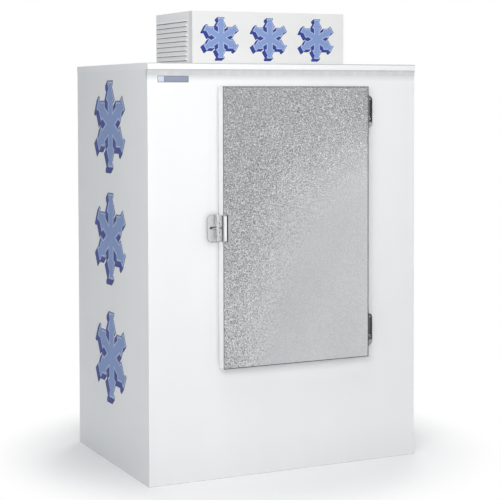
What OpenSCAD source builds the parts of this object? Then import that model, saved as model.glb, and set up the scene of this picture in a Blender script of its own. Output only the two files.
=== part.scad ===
// Ice merchandiser freezer: an insulated cabinet with one door and a cooling unit on its roof.
// Millimetres. The origin is at the centre of the cabinet's footprint, on the floor.
// X runs to the right, Y to the back and Z up, so the door faces -Y.

/* [Cabinet] */
// Width across the front
cab_w = 1285; // [1150:5:1600]
// Depth from the front face to the back face
cab_d = 890; // [780:5:1100]
// Height without the cooling unit
cab_h = 1760; // [1740:5:2000]
// Thickness of the insulated walls and ceiling, sheets included
wall_t = 65; // [50:1:80]
// Thickness of the insulated floor, sheets included
floor_t = 70; // [50:1:100]
// Thickness of the outer sheet metal
skin_t = 1.2; // [0.8:0.1:1.6]
// Thickness of the liner sheet
liner_t = 1; // [0.6:0.1:2]
// Thickness of the base pan's sheet
base_t = 1.5; // [1:0.1:3]
// Outer radius of the bends in the sheet metal
bend_r = 3; // [2:0.5:5]
// How far the front panel wraps round on to each side
wrap_w = 20; // [12:1:30]
// Height of the roof panel's turned-down edge
lip_h = 27; // [16:1:32]
// How far the roof panel's front edge stands out
lip_out = 6; // [5:1:20]
// Slats in the floor rack
rack_slats = 14; // [8:1:18]

/* [Door] */
// Width of the door
door_w = 700; // [560:5:740]
// Distance from the door's upper edge to the cabinet's top
door_top = 98; // [90:1:200]
// Thickness of the door without its gasket
door_t = 44; // [40:1:55]
// Height of the door's lower edge above the floor
door_z = 475; // [440:1:480]
// Distance from the cabinet's left side to the door
door_left = 315; // [220:1:330]
// How far the door laps over the doorway on each edge
door_lap = 30; // [28:1:40]
// Gap that the shut gasket fills
gasket_t = 11; // [9:0.5:14]
// Width of the gasket
gasket_w = 18; // [12:1:20]

/* [Door hardware] */
// Height of a hinge
hinge_h = 140; // [110:1:160]
// Distance from the door's top or bottom edge to its hinge
hinge_inset = 41; // [25:1:80]
// Distance of the hinge axis from the door's edge and from the cabinet's face
hinge_off = 18; // [17:0.5:20]
// Outer radius of the hinge knuckles
knuckle_r = 9; // [8:0.5:10]
// Radius of the hinge pins
pin_r = 4; // [3:0.25:5]
// Height of the handle
handle_h = 114; // [90:1:140]
// Width of the handle's tongue beside the door
tongue_w = 54; // [50:1:60]
// Thickness of the handle's plate
plate_t = 2.5; // [2:0.25:3]
// Radius of the padlock hole in the staple
lock_r = 4.5; // [3:0.25:5]

/* [Cooling unit housing] */
// Width of the housing
unit_w = 741; // [730:1:860]
// Depth of the housing, sign panel included
unit_d = 413; // [400:1:470]
// Height of the housing
unit_h = 228; // [220:1:280]
// Distance from the cabinet's front face to the sign panel's face
unit_set = 165; // [60:1:200]
// Depth of the pan-shaped sign panel
sign_d = 32; // [20:1:40]
// Louvres in each panel
louvres = 9; // [5:1:9]
// Height of the lowest louvre above the housing's lower edge
louvre_z = 17; // [12:1:24]
// Distance from one louvre to the next
louvre_pitch = 21; // [16:0.5:22]
// Height of a louvre's slot
louvre_h = 8; // [6:0.5:9]
// How far a louvre's hood stands out
louvre_out = 5; // [3:0.5:6]

/* [Cooling machinery] */
// Diameter of the condenser fan
cond_fan_d = 180; // [150:1:186]
// Thickness of the condenser coil
cond_t = 36; // [25:1:45]
// Radius of the compressor's shell
comp_r = 80; // [65:1:85]
// Height of the compressor's shell
comp_h = 160; // [140:1:165]
// Width of the evaporator's housing
evap_w = 620; // [560:1:640]
// Depth of the evaporator's housing
evap_d = 330; // [300:1:340]
// Height of the evaporator's housing and pan
evap_h = 180; // [170:1:240]
// Diameter of the evaporator fan
evap_fan_d = 144; // [110:1:148]
// Fins in each coil
coil_fins = 26; // [10:1:40]
// Radius of the coils' tubes and of the liquid line
tube_r = 5; // [4:0.5:6]
// Radius of the suction line
suction_r = 8; // [6:0.5:9]
// Radius of the drain tube
drain_r = 11; // [9:0.5:12]

/* [Hidden] */
$fn = 72;
// Clearances and small details
gap = 0.3; // between pieces that move past each other
run = 0.05; // radial clearance of a shaft in its bore
seam = 0.4; // hairline between two panels
line_gap = 1; // round a pipe in its hole
cut = 1; // how far a cutting solid runs past a face
fin_t = 0.8;
end_t = 2;
// Cabinet planes
xl = -cab_w / 2;
xr = cab_w / 2;
yf = -cab_d / 2;
yb = cab_d / 2;
wall_top = cab_h - lip_h;
in_x = cab_w / 2 - wall_t;
in_y = cab_d / 2 - wall_t;
in_top = cab_h - wall_t;
liner_low = [-in_x - liner_t, -in_y - liner_t, floor_t - liner_t];
liner_high = [in_x + liner_t, in_y + liner_t, in_top + liner_t];
tab_w = 16; // flange where one panel laps another
// Doorway and its breaker frame
breaker_t = 3;
breaker_lip = 12;
door_x0 = xl + door_left;
door_x1 = door_x0 + door_w;
door_z1 = cab_h - door_top;
door_h = door_z1 - door_z;
way_x0 = door_x0 + door_lap;
way_x1 = door_x1 - door_lap;
way_z0 = door_z + door_lap;
way_z1 = door_z1 - door_lap;
// Door, from its face back to the gasket
door_yf = yf - gasket_t - door_t;
door_yb = yf - gasket_t;
door_skin_t = 1;
door_trim_t = 1.5;
door_trim_lip = 14;
gasket_in = 6;
gasket_r = 4;
// Floor rack
rack_h = 22;
slat_w = 26;
slat_h = 12;
rack_gap = 6;
// Hinges
axis_x = door_x1 + hinge_off;
axis_y = yf - hinge_off;
leaf_t = 6;
edge_leaf_t = 3;
edge_leaf_in = [4, 2]; // from the door leaf to the door's front and back edges
leaf_out = 30; // from the axis to the jamb leaf's outer edge
leaf_in = 13;
leaf_r = 18;
web_t = 6;
knuckle_h = hinge_h / 3;
bearing_t = 3;
head_r = 6;
head_h = 3;
hinge_zs = [door_z + hinge_inset, door_z1 - hinge_inset - hinge_h];
// Handle, halfway up: a tongue beside the door, a leg on its edge and a stepped flange on its face
handle_z = (door_z + door_z1) / 2;
finger_gap = 10.5;
raise = 8;
raised_w = 19;
foot_w = 16;
leg_bend = 6;
step_bend = 3;
tongue_r = 18;
slot_w = 27;
slot_h = 6;
slot_flat = 0.01; // straight stretch left in the slot's round ends
slot_off = 1; // from the tongue's middle to the slot's
// Lock staple
staple_w = 20;
staple_t = 2.5;
staple_out = 33;
lock_in = 10; // from the staple's end to the padlock hole
staple_foot = [30, 40, 2];
staple_x = door_x0 - tongue_w / 2 - slot_off;
// Cooling unit planes
ux0 = -unit_w / 2;
ux1 = unit_w / 2;
uy0 = yf + unit_set;
us = uy0 + sign_d;
uy1 = uy0 + unit_d;
uz0 = cab_h;
uz1 = cab_h + unit_h;
pan_t = 2; // the unit's base plate
uzb = uz0 + pan_t;
louvre_front = 25; // plain stretch beside the sign panel
louvre_back = 10;
gland_margin = 140; // plain stretch of the rear panel beside the cord gland
// Condenser, its shroud and its fan
bend_room = 27; // for the return bends at each end of a coil
stub = 8; // straight tube outside an end plate
cond_in = 30; // from the housing's side to the condenser
cond_x = ux0 + cond_in;
cond_y0 = us + bend_room;
cond_len = uy1 - skin_t - bend_room - cond_y0;
coil_tubes = 8;
cond_foot = 6;
cond_head = 12; // free height over the condenser
cond_h = unit_h - pan_t - skin_t - cond_head - cond_foot;
shroud_x = cond_x + cond_t;
shroud_d = 30;
fan_y = cond_y0 + cond_len / 2;
fan_z = uzb + cond_foot + cond_h / 2;
tip_gap = 4;
cond_fan_in = 6; // from the shroud's sheet to the fan
fan_x = shroud_x + cond_fan_in;
cond_fan_w = 20;
cond_hub_r = 24;
cond_blades = 5;
cond_chord = 56;
camber_r = 60;
blade_t = 1.5;
blade_root = 2; // how far a blade reaches into the hub and stops short of its ends
shaft_r = 4;
motor_gap = 10;
motor_r = 42;
motor_l = 70;
motor_round = 6;
motor_x = fan_x + cond_fan_w + motor_gap;
band_w = 20;
band_t = 2;
// Compressor on its four rubber mounts
comp_in = 290; // from the housing's side to the compressor's middle
comp_x = ux0 + comp_in;
comp_y = fan_y;
mount_h = 14;
mount_r = 11;
mount_off = [72, 62];
foot_t = 3;
foot_rim = 4; // of the foot plate round each mount's head
comp_z = uzb + mount_h;
comp_round = 30;
weld_h = 6; // the flange where the shell's halves meet
weld_out = 4;
port_off = 35;
terminal_box = [60, 34, 50];
terminal_z = 45;
terminal_in = 12; // how far the terminal box reaches into the round shell
// Liquid receiver and filter drier, end to end
recv_gap = 39; // from the compressor's shell to the receiver
recv_in = 33; // from the sign panel's pan to the receiver
recv_r = 36;
recv_l = 170;
recv_x = comp_x + comp_r + recv_gap + recv_r;
recv_lift = 6;
recv_round = 14;
saddle_w = 16;
saddle_in = 24; // from the receiver's end to its saddle
recv_z = uzb + recv_lift + recv_r;
recv_y0 = us + recv_in;
drier_gap = 20;
drier_r = 18;
drier_l = 100;
drier_round = 8;
drier_y0 = recv_y0 + recv_l + drier_gap;
// Pipe runs
elbow_ratio = 1.6; // an elbow's radius over the pipe's own
braze_t = 0.8; // wall of a brazed socket
socket_in = 1.5; // how far a socket reaches on to its elbow
socket_out = 3; // and on to the straight pipe
front_run_y = cond_y0 - stub - elbow_ratio * tube_r - socket_out - line_gap;
drop_in = 40; // from the housing's side to the lines that drop through the roof
liquid_in = 23; // from the housing's rear to the liquid line
suction_in = 63; // and to the suction line
suction_up = 100; // from the compressor's foot to its suction port
drop_x = ux1 - drop_in;
liquid_y = uy1 - liquid_in;
suction_y = uy1 - suction_in;
suction_z = comp_z + suction_up;
// Evaporator, hung from the ceiling at the back, with its right side beside the lines' drop
evap_line_gap = 20.5;
evap_gap = 15; // from the back wall to the housing and from there to the coil
evap_x = drop_x - evap_line_gap - evap_w / 2;
evap_y1 = in_y - evap_gap;
evap_y0 = evap_y1 - evap_d;
evap_z0 = in_top - evap_h;
pan_h = 20;
case_z0 = evap_z0 + pan_h;
coil_t = 60;
coil_h = 130;
coil_foot = 25;
coil_len = evap_w - 2 * skin_t - 2 * bend_room;
coil_x1 = evap_x + coil_len / 2;
coil_y = evap_y1 - evap_gap - coil_t / 2;
coil_z0 = in_top - skin_t - coil_h;
heater_r = 4;
heater_step = 15; // from the coil's middle plane and from its fins to the heater's rods
heater_z = coil_z0 - heater_step;
evap_fan_in = 3; // from the housing's front to the fan
evap_fan_w = 18;
evap_hub_r = 20;
evap_blades = 4;
evap_chord = 50;
evap_fan_y = evap_y0 + evap_fan_in;
evap_fan_z = (case_z0 + in_top) / 2;
evap_motor_gap = 6;
evap_motor_r = 36;
evap_motor_l = 65;
evap_motor_y = evap_fan_y + evap_fan_w + evap_motor_gap;
strap_w = 30;
guard_out = 12;
guard_wire = 1.5;
guard_rings = 4;
spoke_r = 2;
// Drain tube, from the pan down the back wall and out
drain_in = 40; // from the pan's left side to the drain
drain_up = 40; // from the cabinet's inner floor to the outlet
drain_x = evap_x - evap_w / 2 + drain_in;
drain_wall_y = in_y - elbow_ratio * drain_r - socket_out - gap;
drain_y = drain_wall_y - 4 * drain_r;
drain_z = floor_t + drain_up;
drain_out = 25;
drain_bore = drain_r - 2;
drain_socket = 1.5;
drain_flange = [18, 3]; // radius and thickness, outside the rear panel
// Control box, its leads, thermostat knob and cord gland
wire_r = 3;
wire_in = 25; // from the box's left side to the compressor's lead
wire_out = 20; // from the terminal box to where the lead turns, and from the motor
wire_gap = 12; // between the compressor and the motor's lead
wire_up = 16; // from the motor's axis to its lead
box_size = [130, 105, 138];
box_in = [25, 13]; // from the housing's side and from the sign panel's pan
box_x = ux1 - box_in.x - box_size.x;
box_y = us + box_in.y;
box_lid_t = 2;
box_lid_h = 12;
knob_r = 16;
knob_l = 14;
knob_base_h = 10;
knob_grip_w = 6;
knob_end_t = 2; // solid end of the knob over its shaft
knob_shaft_r = 3;
knob_y = box_y + box_size.y / 2;
knob_up = 90;
knob_z = uzb + knob_up;
gland_in = 70;
gland_up = 38;
gland_x = ux1 - gland_in;
gland_z = uzb + gland_up;
gland_r = 12;
gland_neck_r = 9;
gland_bore_r = 5;
gland_out = 16;
gland_nut = 6;

white = [0.93, 0.94, 0.95];
sign_white = [0.95, 0.94, 0.93];
stucco = [0.72, 0.74, 0.75];
steel = [0.66, 0.68, 0.7];
galvanised = [0.62, 0.65, 0.67];
chrome = [0.35, 0.36, 0.38];
copper = [0.72, 0.45, 0.3];
black = [0.12, 0.12, 0.13];
foam = [0.93, 0.86, 0.62];
grey_rubber = [0.45, 0.46, 0.48];

// ---------- Shapes that repeat ----------

// A box from its low corner to its high corner
module span(low, high) {
  translate(low)
    cube(high - low);
}

// A flat rectangle from its low corner to its high corner, with rounded corners
module rounded(low, high, r) {
  translate([low.x + r, low.y])
    square([high.x - low.x - 2 * r, high.y - low.y]);
  translate([low.x, low.y + r])
    square([high.x - low.x, high.y - low.y - 2 * r]);
  for (x = [low.x + r, high.x - r], y = [low.y + r, high.y - r])
    translate([x, y])
      circle(r = r);
}

// The outline of a sheet bent round all four sides of a rectangle
module sheet_ring(low, high, t, r) {
  difference() {
    rounded(low, high, r);
    rounded(low + [t, t], high - [t, t], r - t);
  }
}

// Stands a flat outline up in the XZ plane, with its thickness towards +Y
module upright(y, t) {
  translate([0, y + t, 0])
    rotate([90, 0, 0])
      linear_extrude(height = t)
        children();
}

// Draws a flat outline in the YZ plane and extrudes it towards +X
module across(x, length) {
  translate([x, 0, 0])
    rotate([90, 0, 90])
      linear_extrude(height = length)
        children();
}

// A straight round bar between two points
module bar(a, b, r) {
  d = b - a;
  translate(a)
    rotate([0, acos(d.z / norm(d)), atan2(d.y, d.x)])
      cylinder(h = norm(d), r = r);
}

// A pipe through the points, whose runs turn by right angles in smooth elbows.
// Each end of an elbow sits in a socket with the given wall, if that is over 0.
module pipe(points, r, socket) {
  bend = elbow_ratio * r;
  last = len(points) - 2;
  runs = [for (i = [0 : last]) (points[i + 1] - points[i]) / norm(points[i + 1] - points[i])];
  for (i = [0 : last])
    bar(points[i] + (i == 0 ? 0 : bend) * runs[i],
      points[i + 1] - (i == last ? 0 : bend) * runs[i], r);
  for (i = [1 : last]) {
    u = runs[i - 1];
    v = runs[i];
    w = cross(u, v);
    c = points[i] + bend * (v - u);
    multmatrix([[-v.x, u.x, w.x, c.x], [-v.y, u.y, w.y, c.y], [-v.z, u.z, w.z, c.z], [0, 0, 0, 1]])
      rotate_extrude(angle = 90)
        translate([bend, 0])
          circle(r = r);
    if (socket > 0)
      for (way = [-u, v])
        bar(points[i] + (bend - socket_in) * way, points[i] + (bend + socket_out) * way, r + socket);
  }
}

// A vessel with rounded ends, standing on z = 0
module vessel(r, h, edge) {
  rotate_extrude() {
    square([r - edge, h]);
    translate([0, edge])
      square([r, h - 2 * edge]);
    for (z = [edge, h - edge])
      translate([r - edge, z])
        circle(r = edge);
  }
}

// A finned coil with its tubes along X. Return bends join neighbours at alternate ends,
// so with an even number of tubes both open ends are at low X.
module finned_coil(size, tubes, foot) {
  pitch = size.z / tubes;
  fin_step = (size.x - end_t) / (coil_fins + 1);
  for (x = [0, size.x - end_t])
    translate([x, 0, -foot])
      cube([end_t, size.y, size.z + foot]);
  for (i = [1 : coil_fins])
    translate([i * fin_step, 0, 0])
      cube([fin_t, size.y, size.z]);
  for (k = [0 : tubes - 1])
    translate([-stub, size.y / 2, (k + 0.5) * pitch])
      rotate([0, 90, 0])
        cylinder(h = size.x + 2 * stub, r = tube_r);
  for (k = [0 : tubes - 2])
    translate([k % 2 == 0 ? size.x + stub : -stub, size.y / 2, (k + 1) * pitch])
      rotate([90, 0, 0])
        rotate([0, 0, k % 2 == 0 ? -90 : 90])
          rotate_extrude(angle = 180)
            translate([pitch / 2, 0])
              circle(r = tube_r);
}

// A fan wheel on +Z: cambered blades on a hub with a round bore
module fan_wheel(tip_r, hub_r, width, blades, chord) {
  rise = width - blade_root;
  half = norm([chord, rise]) / 2;
  drop = sqrt(pow(camber_r, 2) - pow(half, 2));
  arc_y = drop * rise / (2 * half);
  arc_z = width / 2 - drop * chord / (2 * half);
  difference() {
    union() {
      cylinder(h = width, r = hub_r);
      for (i = [0 : blades - 1])
        rotate([0, 0, i * 360 / blades])
          intersection() {
            cylinder(h = width, r = tip_r);
            translate([hub_r - blade_root, -chord / 2, 0])
              cube([tip_r, chord, width]);
            translate([0, arc_y, arc_z])
              rotate([0, 90, 0])
                difference() {
                  cylinder(h = tip_r, r = camber_r + blade_t / 2);
                  translate([0, 0, -cut])
                    cylinder(h = tip_r + 2 * cut, r = camber_r - blade_t / 2);
                }
          }
    }
    translate([0, 0, -cut])
      cylinder(h = width + 2 * cut, r = shaft_r + run);
  }
}

// A sheet in the XZ plane whose louvres open downwards and stand out towards -Y
module louvred_sheet(w, h, first, length) {
  arc_y = louvre_h - louvre_out;
  difference() {
    cube([w, skin_t, h]);
    for (i = [0 : louvres - 1])
      translate([first, -cut, louvre_z + i * louvre_pitch])
        cube([length, skin_t + 2 * cut, louvre_h - 2 * skin_t]);
  }
  for (i = [0 : louvres - 1])
    translate([first, 0, louvre_z + i * louvre_pitch])
      difference() {
        rotate([90, 0, 90])
          linear_extrude(height = length)
            intersection() {
              translate([arc_y, 0])
                circle(r = louvre_h);
              translate([-louvre_h, 0])
                square([louvre_h + skin_t / 2, louvre_h]);
            }
        translate([skin_t, 0, 0])
          rotate([90, 0, 90])
            linear_extrude(height = length - 2 * skin_t)
              translate([arc_y, 0])
                circle(r = louvre_h - skin_t);
      }
}

// ---------- Cabinet ----------

module base_pan() {
  color(galvanised)
    span([xl, yf, 0], [xr, yb, base_t]);
}

// Plan of the left side panel: the side, a flange under the rear panel, and a joggled tongue
// that is tucked behind the front panel's wrap
module side_plan() {
  seam_y = yf + wrap_w + seam;
  intersection() {
    sheet_ring([xl, yf], [xr, yb - skin_t], skin_t, bend_r);
    translate([xl - cut, seam_y])
      square([tab_w + cut, cab_d]);
  }
  translate([xl + skin_t, seam_y - tab_w])
    square([skin_t, 1.5 * tab_w]);
}

module left_side_panel() {
  color(white)
    translate([0, 0, base_t])
      linear_extrude(height = wall_top - base_t)
        side_plan();
}

module right_side_panel() {
  color(white)
    translate([0, 0, base_t])
      linear_extrude(height = wall_top - base_t)
        mirror([1, 0])
          side_plan();
}

module rear_panel() {
  color(white)
    difference() {
      span([xl + bend_r, yb - skin_t, base_t], [xr - bend_r, yb, wall_top]);
      drain_hole();
    }
}

// The doorway, out to the breaker's outer faces, through everything between two Y planes
module doorway(y0, y1) {
  t = breaker_t;
  span([way_x0 - t, y0, way_z0 - t], [way_x1 + t, y1, way_z1 + t]);
}

module front_panel() {
  color(white)
    difference() {
      translate([0, 0, base_t])
        linear_extrude(height = wall_top - base_t)
          intersection() {
            sheet_ring([xl, yf], [xr, yb], skin_t, bend_r);
            translate([xl - cut, yf - cut])
              square([cab_w + 2 * cut, wrap_w + cut]);
          }
      doorway(yf - cut, yf + skin_t + cut);
    }
}

// The roof: one bent sheet with a box-shaped lip at the front, closed by an end flange each side
module roof_panel() {
  low = [yf - lip_out, wall_top];
  high = [yb, cab_h];
  color(white)
    difference() {
      union() {
        across(xl, cab_w)
          difference() {
            sheet_ring(low, high, skin_t, bend_r);
            translate([yf + skin_t, wall_top - cut])
              square([cab_d - 2 * skin_t, 2 * skin_t + cut]);
          }
        for (x = [xl, xr - skin_t])
          across(x, skin_t)
            rounded(low, high, bend_r);
      }
      line_holes();
    }
}

// A slab of insulation between two heights, as far as a rectangle and the outer sheets let it
module slab(low, high) {
  color(foam)
    translate([0, 0, low.z])
      linear_extrude(height = high.z - low.z)
        difference() {
          translate([low.x, low.y])
            square([high.x - low.x, high.y - low.y]);
          side_plan();
          mirror([1, 0])
            side_plan();
          sheet_ring([xl, yf], [xr, yb], skin_t, bend_r);
        }
}

module floor_insulation() {
  slab([xl + skin_t, yf + skin_t, base_t], [xr - skin_t, yb - skin_t, liner_low.z]);
}

// The ceiling's slab, whose top fills the roof panel
module ceiling_insulation() {
  color(foam)
    difference() {
      union() {
        slab([xl + skin_t, yf + skin_t, liner_high.z], [xr - skin_t, yb - skin_t, wall_top]);
        span([xl + bend_r, yf + skin_t, wall_top - cut], [xr - bend_r, yb - bend_r, cab_h - skin_t]);
      }
      line_holes();
    }
}

module left_wall_insulation() {
  slab([xl + skin_t, yf + skin_t, liner_low.z], [liner_low.x, yb - skin_t, liner_high.z]);
}

module right_wall_insulation() {
  slab([liner_high.x, yf + skin_t, liner_low.z], [xr - skin_t, yb - skin_t, liner_high.z]);
}

module rear_wall_insulation() {
  color(foam)
    difference() {
      slab([liner_low.x, liner_high.y, liner_low.z], [liner_high.x, yb - skin_t, liner_high.z]);
      drain_hole();
    }
}

module front_wall_insulation() {
  color(foam)
    difference() {
      slab([liner_low.x, yf + skin_t, liner_low.z], [liner_high.x, liner_low.y, liner_high.z]);
      doorway(yf - cut, -in_y);
    }
}

module inner_liner() {
  color(white)
    difference() {
      span(liner_low, liner_high);
      span([-in_x, -in_y, floor_t], [in_x, in_y, in_top]);
      doorway(-in_y - liner_t - cut, -in_y + cut);
      line_holes();
      drain_hole();
    }
}

// A plastic frame that lines the doorway, with a lip over the liner's cut edge
module doorway_breaker() {
  b = breaker_lip;
  color(white)
    difference() {
      union() {
        doorway(yf, -in_y + breaker_t);
        span([way_x0 - b, -in_y, way_z0 - b], [way_x1 + b, -in_y + breaker_t, way_z1 + b]);
      }
      span([way_x0, yf - cut, way_z0], [way_x1, -in_y + breaker_t + cut, way_z1]);
    }
}

module floor_rack() {
  rack_x = in_x - rack_gap;
  rack_y = in_y - rack_gap;
  step = (2 * rack_y - slat_w) / (rack_slats - 1);
  color(galvanised) {
    for (x = [-rack_x, -slat_w / 2, rack_x - slat_w])
      span([x, -rack_y, floor_t], [x + slat_w, rack_y, floor_t + rack_h - slat_h]);
    for (i = [0 : rack_slats - 1])
      translate([-rack_x, -rack_y + i * step, floor_t + rack_h - slat_h])
        cube([2 * rack_x, slat_w, slat_h]);
  }
}

// ---------- Evaporator, in the top of the cabinet ----------

// Holes where the two refrigerant lines pass down through the roof
module line_holes() {
  for (line = [[liquid_y, tube_r], [suction_y, suction_r]])
    translate([drop_x, line[0], in_top - cut])
      cylinder(h = wall_t + pan_t + 2 * cut, r = line[1] + line_gap);
}

module evaporator_housing() {
  x0 = evap_x - evap_w / 2;
  x1 = evap_x + evap_w / 2;
  color(steel)
    difference() {
      span([x0, evap_y0, case_z0], [x1, evap_y1, in_top]);
      span([x0 + skin_t, evap_y0 + skin_t, case_z0 - cut], [x1 - skin_t, evap_y1 + cut, in_top - skin_t]);
      translate([evap_x, evap_y0 - cut, evap_fan_z])
        rotate([-90, 0, 0])
          cylinder(h = skin_t + 2 * cut, r = evap_fan_d / 2 + tip_gap);
      for (line = [[0.5, suction_r], [coil_tubes - 0.5, tube_r]])
        translate([x1 - skin_t - cut, coil_y, coil_z0 + line[0] * coil_h / coil_tubes])
          rotate([0, 90, 0])
            cylinder(h = skin_t + 2 * cut, r = line[1] + line_gap);
    }
}

module evaporator_coil() {
  color(steel)
    difference() {
      translate([coil_x1, coil_y + coil_t / 2, coil_z0])
        rotate([0, 0, 180])
          finned_coil([coil_len, coil_t, coil_h], coil_tubes, coil_foot);
      for (y = [-heater_step, heater_step])
        translate([coil_x1 - coil_len - cut, coil_y + y, heater_z])
          rotate([0, 90, 0])
            cylinder(h = coil_len + 2 * cut, r = heater_r + gap);
    }
}

// A U-shaped heating rod that lies in the coil's end plates
module defrost_heater() {
  x0 = coil_x1 - coil_len - stub;
  color(black) {
    for (y = [-heater_step, heater_step])
      bar([x0, coil_y + y, heater_z], [coil_x1 + stub, coil_y + y, heater_z], heater_r);
    translate([x0, coil_y, heater_z])
      rotate([0, 0, 90])
        rotate_extrude(angle = 180)
          translate([heater_step, 0])
            circle(r = heater_r);
  }
}

// The motor with its shaft towards the fan, hung on a strap from the housing's top
module evaporator_fan_motor() {
  color(black)
    translate([evap_x, evap_motor_y, evap_fan_z])
      rotate([-90, 0, 0]) {
        cylinder(h = evap_motor_l, r = evap_motor_r);
        translate([0, 0, evap_fan_y - evap_motor_y])
          cylinder(h = evap_motor_y - evap_fan_y + cut, r = shaft_r);
      }
  color(steel)
    translate([evap_x, evap_motor_y + evap_motor_l / 2, 0])
      span([-strap_w / 2, -strap_w / 2, evap_fan_z], [strap_w / 2, strap_w / 2, in_top - skin_t]);
}

module evaporator_fan() {
  color(black)
    translate([evap_x, evap_fan_y, evap_fan_z])
      rotate([-90, 0, 0])
        fan_wheel(evap_fan_d / 2, evap_hub_r, evap_fan_w, evap_blades, evap_chord);
}

// Wire rings on four heavier spokes, whose ends turn back to the housing
module evaporator_fan_guard() {
  rim_r = evap_fan_d / 2 + tip_gap;
  leg_r = rim_r + 3 * tip_gap;
  color(chrome)
    translate([evap_x, evap_y0 - guard_out, evap_fan_z])
      rotate([-90, 0, 0]) {
        for (i = [1 : guard_rings])
          rotate_extrude()
            translate([rim_r * i / guard_rings, 0])
              circle(r = guard_wire);
        for (a = [45 : 90 : 315])
          rotate([0, 0, a])
            pipe([[rim_r / guard_rings - 2 * guard_wire, 0, guard_wire],
              [leg_r, 0, guard_wire], [leg_r, 0, guard_out]], spoke_r, 0);
      }
}

module evaporator_drain_pan() {
  low = [evap_x - evap_w / 2, evap_y0, evap_z0];
  high = [evap_x + evap_w / 2, evap_y1, case_z0];
  color(steel)
    difference() {
      span(low, high);
      span(low + [skin_t, skin_t, skin_t], high + [-skin_t, -skin_t, cut]);
      translate([drain_x, drain_y, evap_z0 - cut])
        cylinder(h = 2 * cut + skin_t, r = drain_bore);
    }
}

// Hole where the drain tube passes through the back wall
module drain_hole() {
  translate([drain_x, in_y - cut, drain_z])
    rotate([-90, 0, 0])
      cylinder(h = wall_t + 2 * cut, r = drain_r + gap);
}

module drain_tube() {
  elbow_z = evap_z0 - 2 * drain_r;
  points = [[drain_x, drain_y, evap_z0], [drain_x, drain_y, elbow_z],
    [drain_x, drain_wall_y, elbow_z], [drain_x, drain_wall_y, drain_z],
    [drain_x, yb + drain_out, drain_z]];
  color(white)
    difference() {
      union() {
        pipe(points, drain_r, drain_socket);
        bar([drain_x, yb, drain_z], [drain_x, yb + drain_flange[1], drain_z], drain_flange[0]);
      }
      translate([drain_x, drain_y, elbow_z])
        cylinder(h = 2 * drain_r + cut, r = drain_bore);
      bar([drain_x, in_y, drain_z], [drain_x, yb + drain_out + cut, drain_z], drain_bore);
    }
}

// ---------- Condensing unit, on the roof ----------

module unit_base_plate() {
  color(galvanised)
    difference() {
      span([ux0 + skin_t, us, uz0], [ux1 - skin_t, uy1 - skin_t, uzb]);
      line_holes();
    }
}

module condenser_coil() {
  color(steel)
    translate([cond_x + cond_t, cond_y0, uzb + cond_foot])
      rotate([0, 0, 90])
        finned_coil([cond_len, cond_t, cond_h], coil_tubes, cond_foot);
}

module fan_shroud() {
  hole_r = cond_fan_d / 2 + tip_gap;
  color(black)
    difference() {
      union() {
        span([shroud_x, cond_y0, uzb], [shroud_x + skin_t, cond_y0 + cond_len, uzb + cond_foot + cond_h]);
        translate([shroud_x, fan_y, fan_z])
          rotate([0, 90, 0])
            cylinder(h = shroud_d, r = hole_r + skin_t);
      }
      translate([shroud_x - cut, fan_y, fan_z])
        rotate([0, 90, 0])
          cylinder(h = shroud_d + 2 * cut, r = hole_r);
    }
}

module condenser_fan() {
  color(black)
    translate([fan_x, fan_y, fan_z])
      rotate([0, 90, 0])
        fan_wheel(cond_fan_d / 2, cond_hub_r, cond_fan_w, cond_blades, cond_chord);
}

module condenser_fan_motor() {
  color(black)
    translate([motor_x, fan_y, fan_z])
      rotate([0, 90, 0]) {
        vessel(motor_r, motor_l, motor_round);
        translate([0, 0, fan_x - motor_x])
          cylinder(h = motor_x - fan_x + cut, r = shaft_r);
      }
}

// A band round the motor on a leg that stands on the base plate
module fan_motor_bracket() {
  band_x = motor_x + (motor_l - band_w) / 2;
  color(galvanised)
    difference() {
      union() {
        translate([band_x, fan_y, fan_z])
          rotate([0, 90, 0])
            cylinder(h = band_w, r = motor_r + band_t);
        span([band_x, fan_y - motor_r, uzb], [band_x + band_t, fan_y + motor_r, fan_z]);
        span([band_x, fan_y - motor_r, uzb], [band_x + 2 * band_w, fan_y + motor_r, uzb + band_t]);
      }
      translate([band_x - cut, fan_y, fan_z])
        rotate([0, 90, 0])
          cylinder(h = band_w + 2 * cut, r = motor_r);
    }
}

// A welded shell on a foot plate, with a terminal box on its side
module compressor() {
  plate = mount_off + [mount_r + foot_rim, mount_r + foot_rim];
  color(black)
    translate([comp_x, comp_y, comp_z]) {
      vessel(comp_r, comp_h, comp_round);
      translate([0, 0, comp_h / 2])
        cylinder(h = weld_h, r = comp_r + weld_out);
      difference() {
        linear_extrude(height = foot_t)
          rounded(-plate, plate, mount_r);
        for (x = [-mount_off.x, mount_off.x], y = [-mount_off.y, mount_off.y])
          translate([x, y, -cut])
            cylinder(h = foot_t + 2 * cut, r = mount_r - foot_rim);
      }
      translate([-terminal_box.x / 2, comp_r - terminal_in, terminal_z])
        cube(terminal_box);
    }
}

// Rubber grommets, each with a neck through the compressor's foot plate
module compressor_mounts() {
  color(black)
    for (x = [-mount_off.x, mount_off.x], y = [-mount_off.y, mount_off.y])
      translate([comp_x + x, comp_y + y, uzb]) {
        cylinder(h = mount_h, r = mount_r);
        cylinder(h = mount_h + foot_t, r = mount_r - foot_rim - gap);
      }
}

module liquid_receiver() {
  color(black) {
    translate([recv_x, recv_y0, recv_z])
      rotate([-90, 0, 0])
        vessel(recv_r, recv_l, recv_round);
    for (y = [recv_y0 + saddle_in, recv_y0 + recv_l - saddle_in - saddle_w])
      span([recv_x - recv_r, y, uzb], [recv_x + recv_r, y + saddle_w, recv_z - recv_r / 2]);
  }
}

module filter_drier() {
  color(copper)
    translate([recv_x, drier_y0, recv_z])
      rotate([-90, 0, 0])
        vessel(drier_r, drier_l, drier_round);
}

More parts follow.
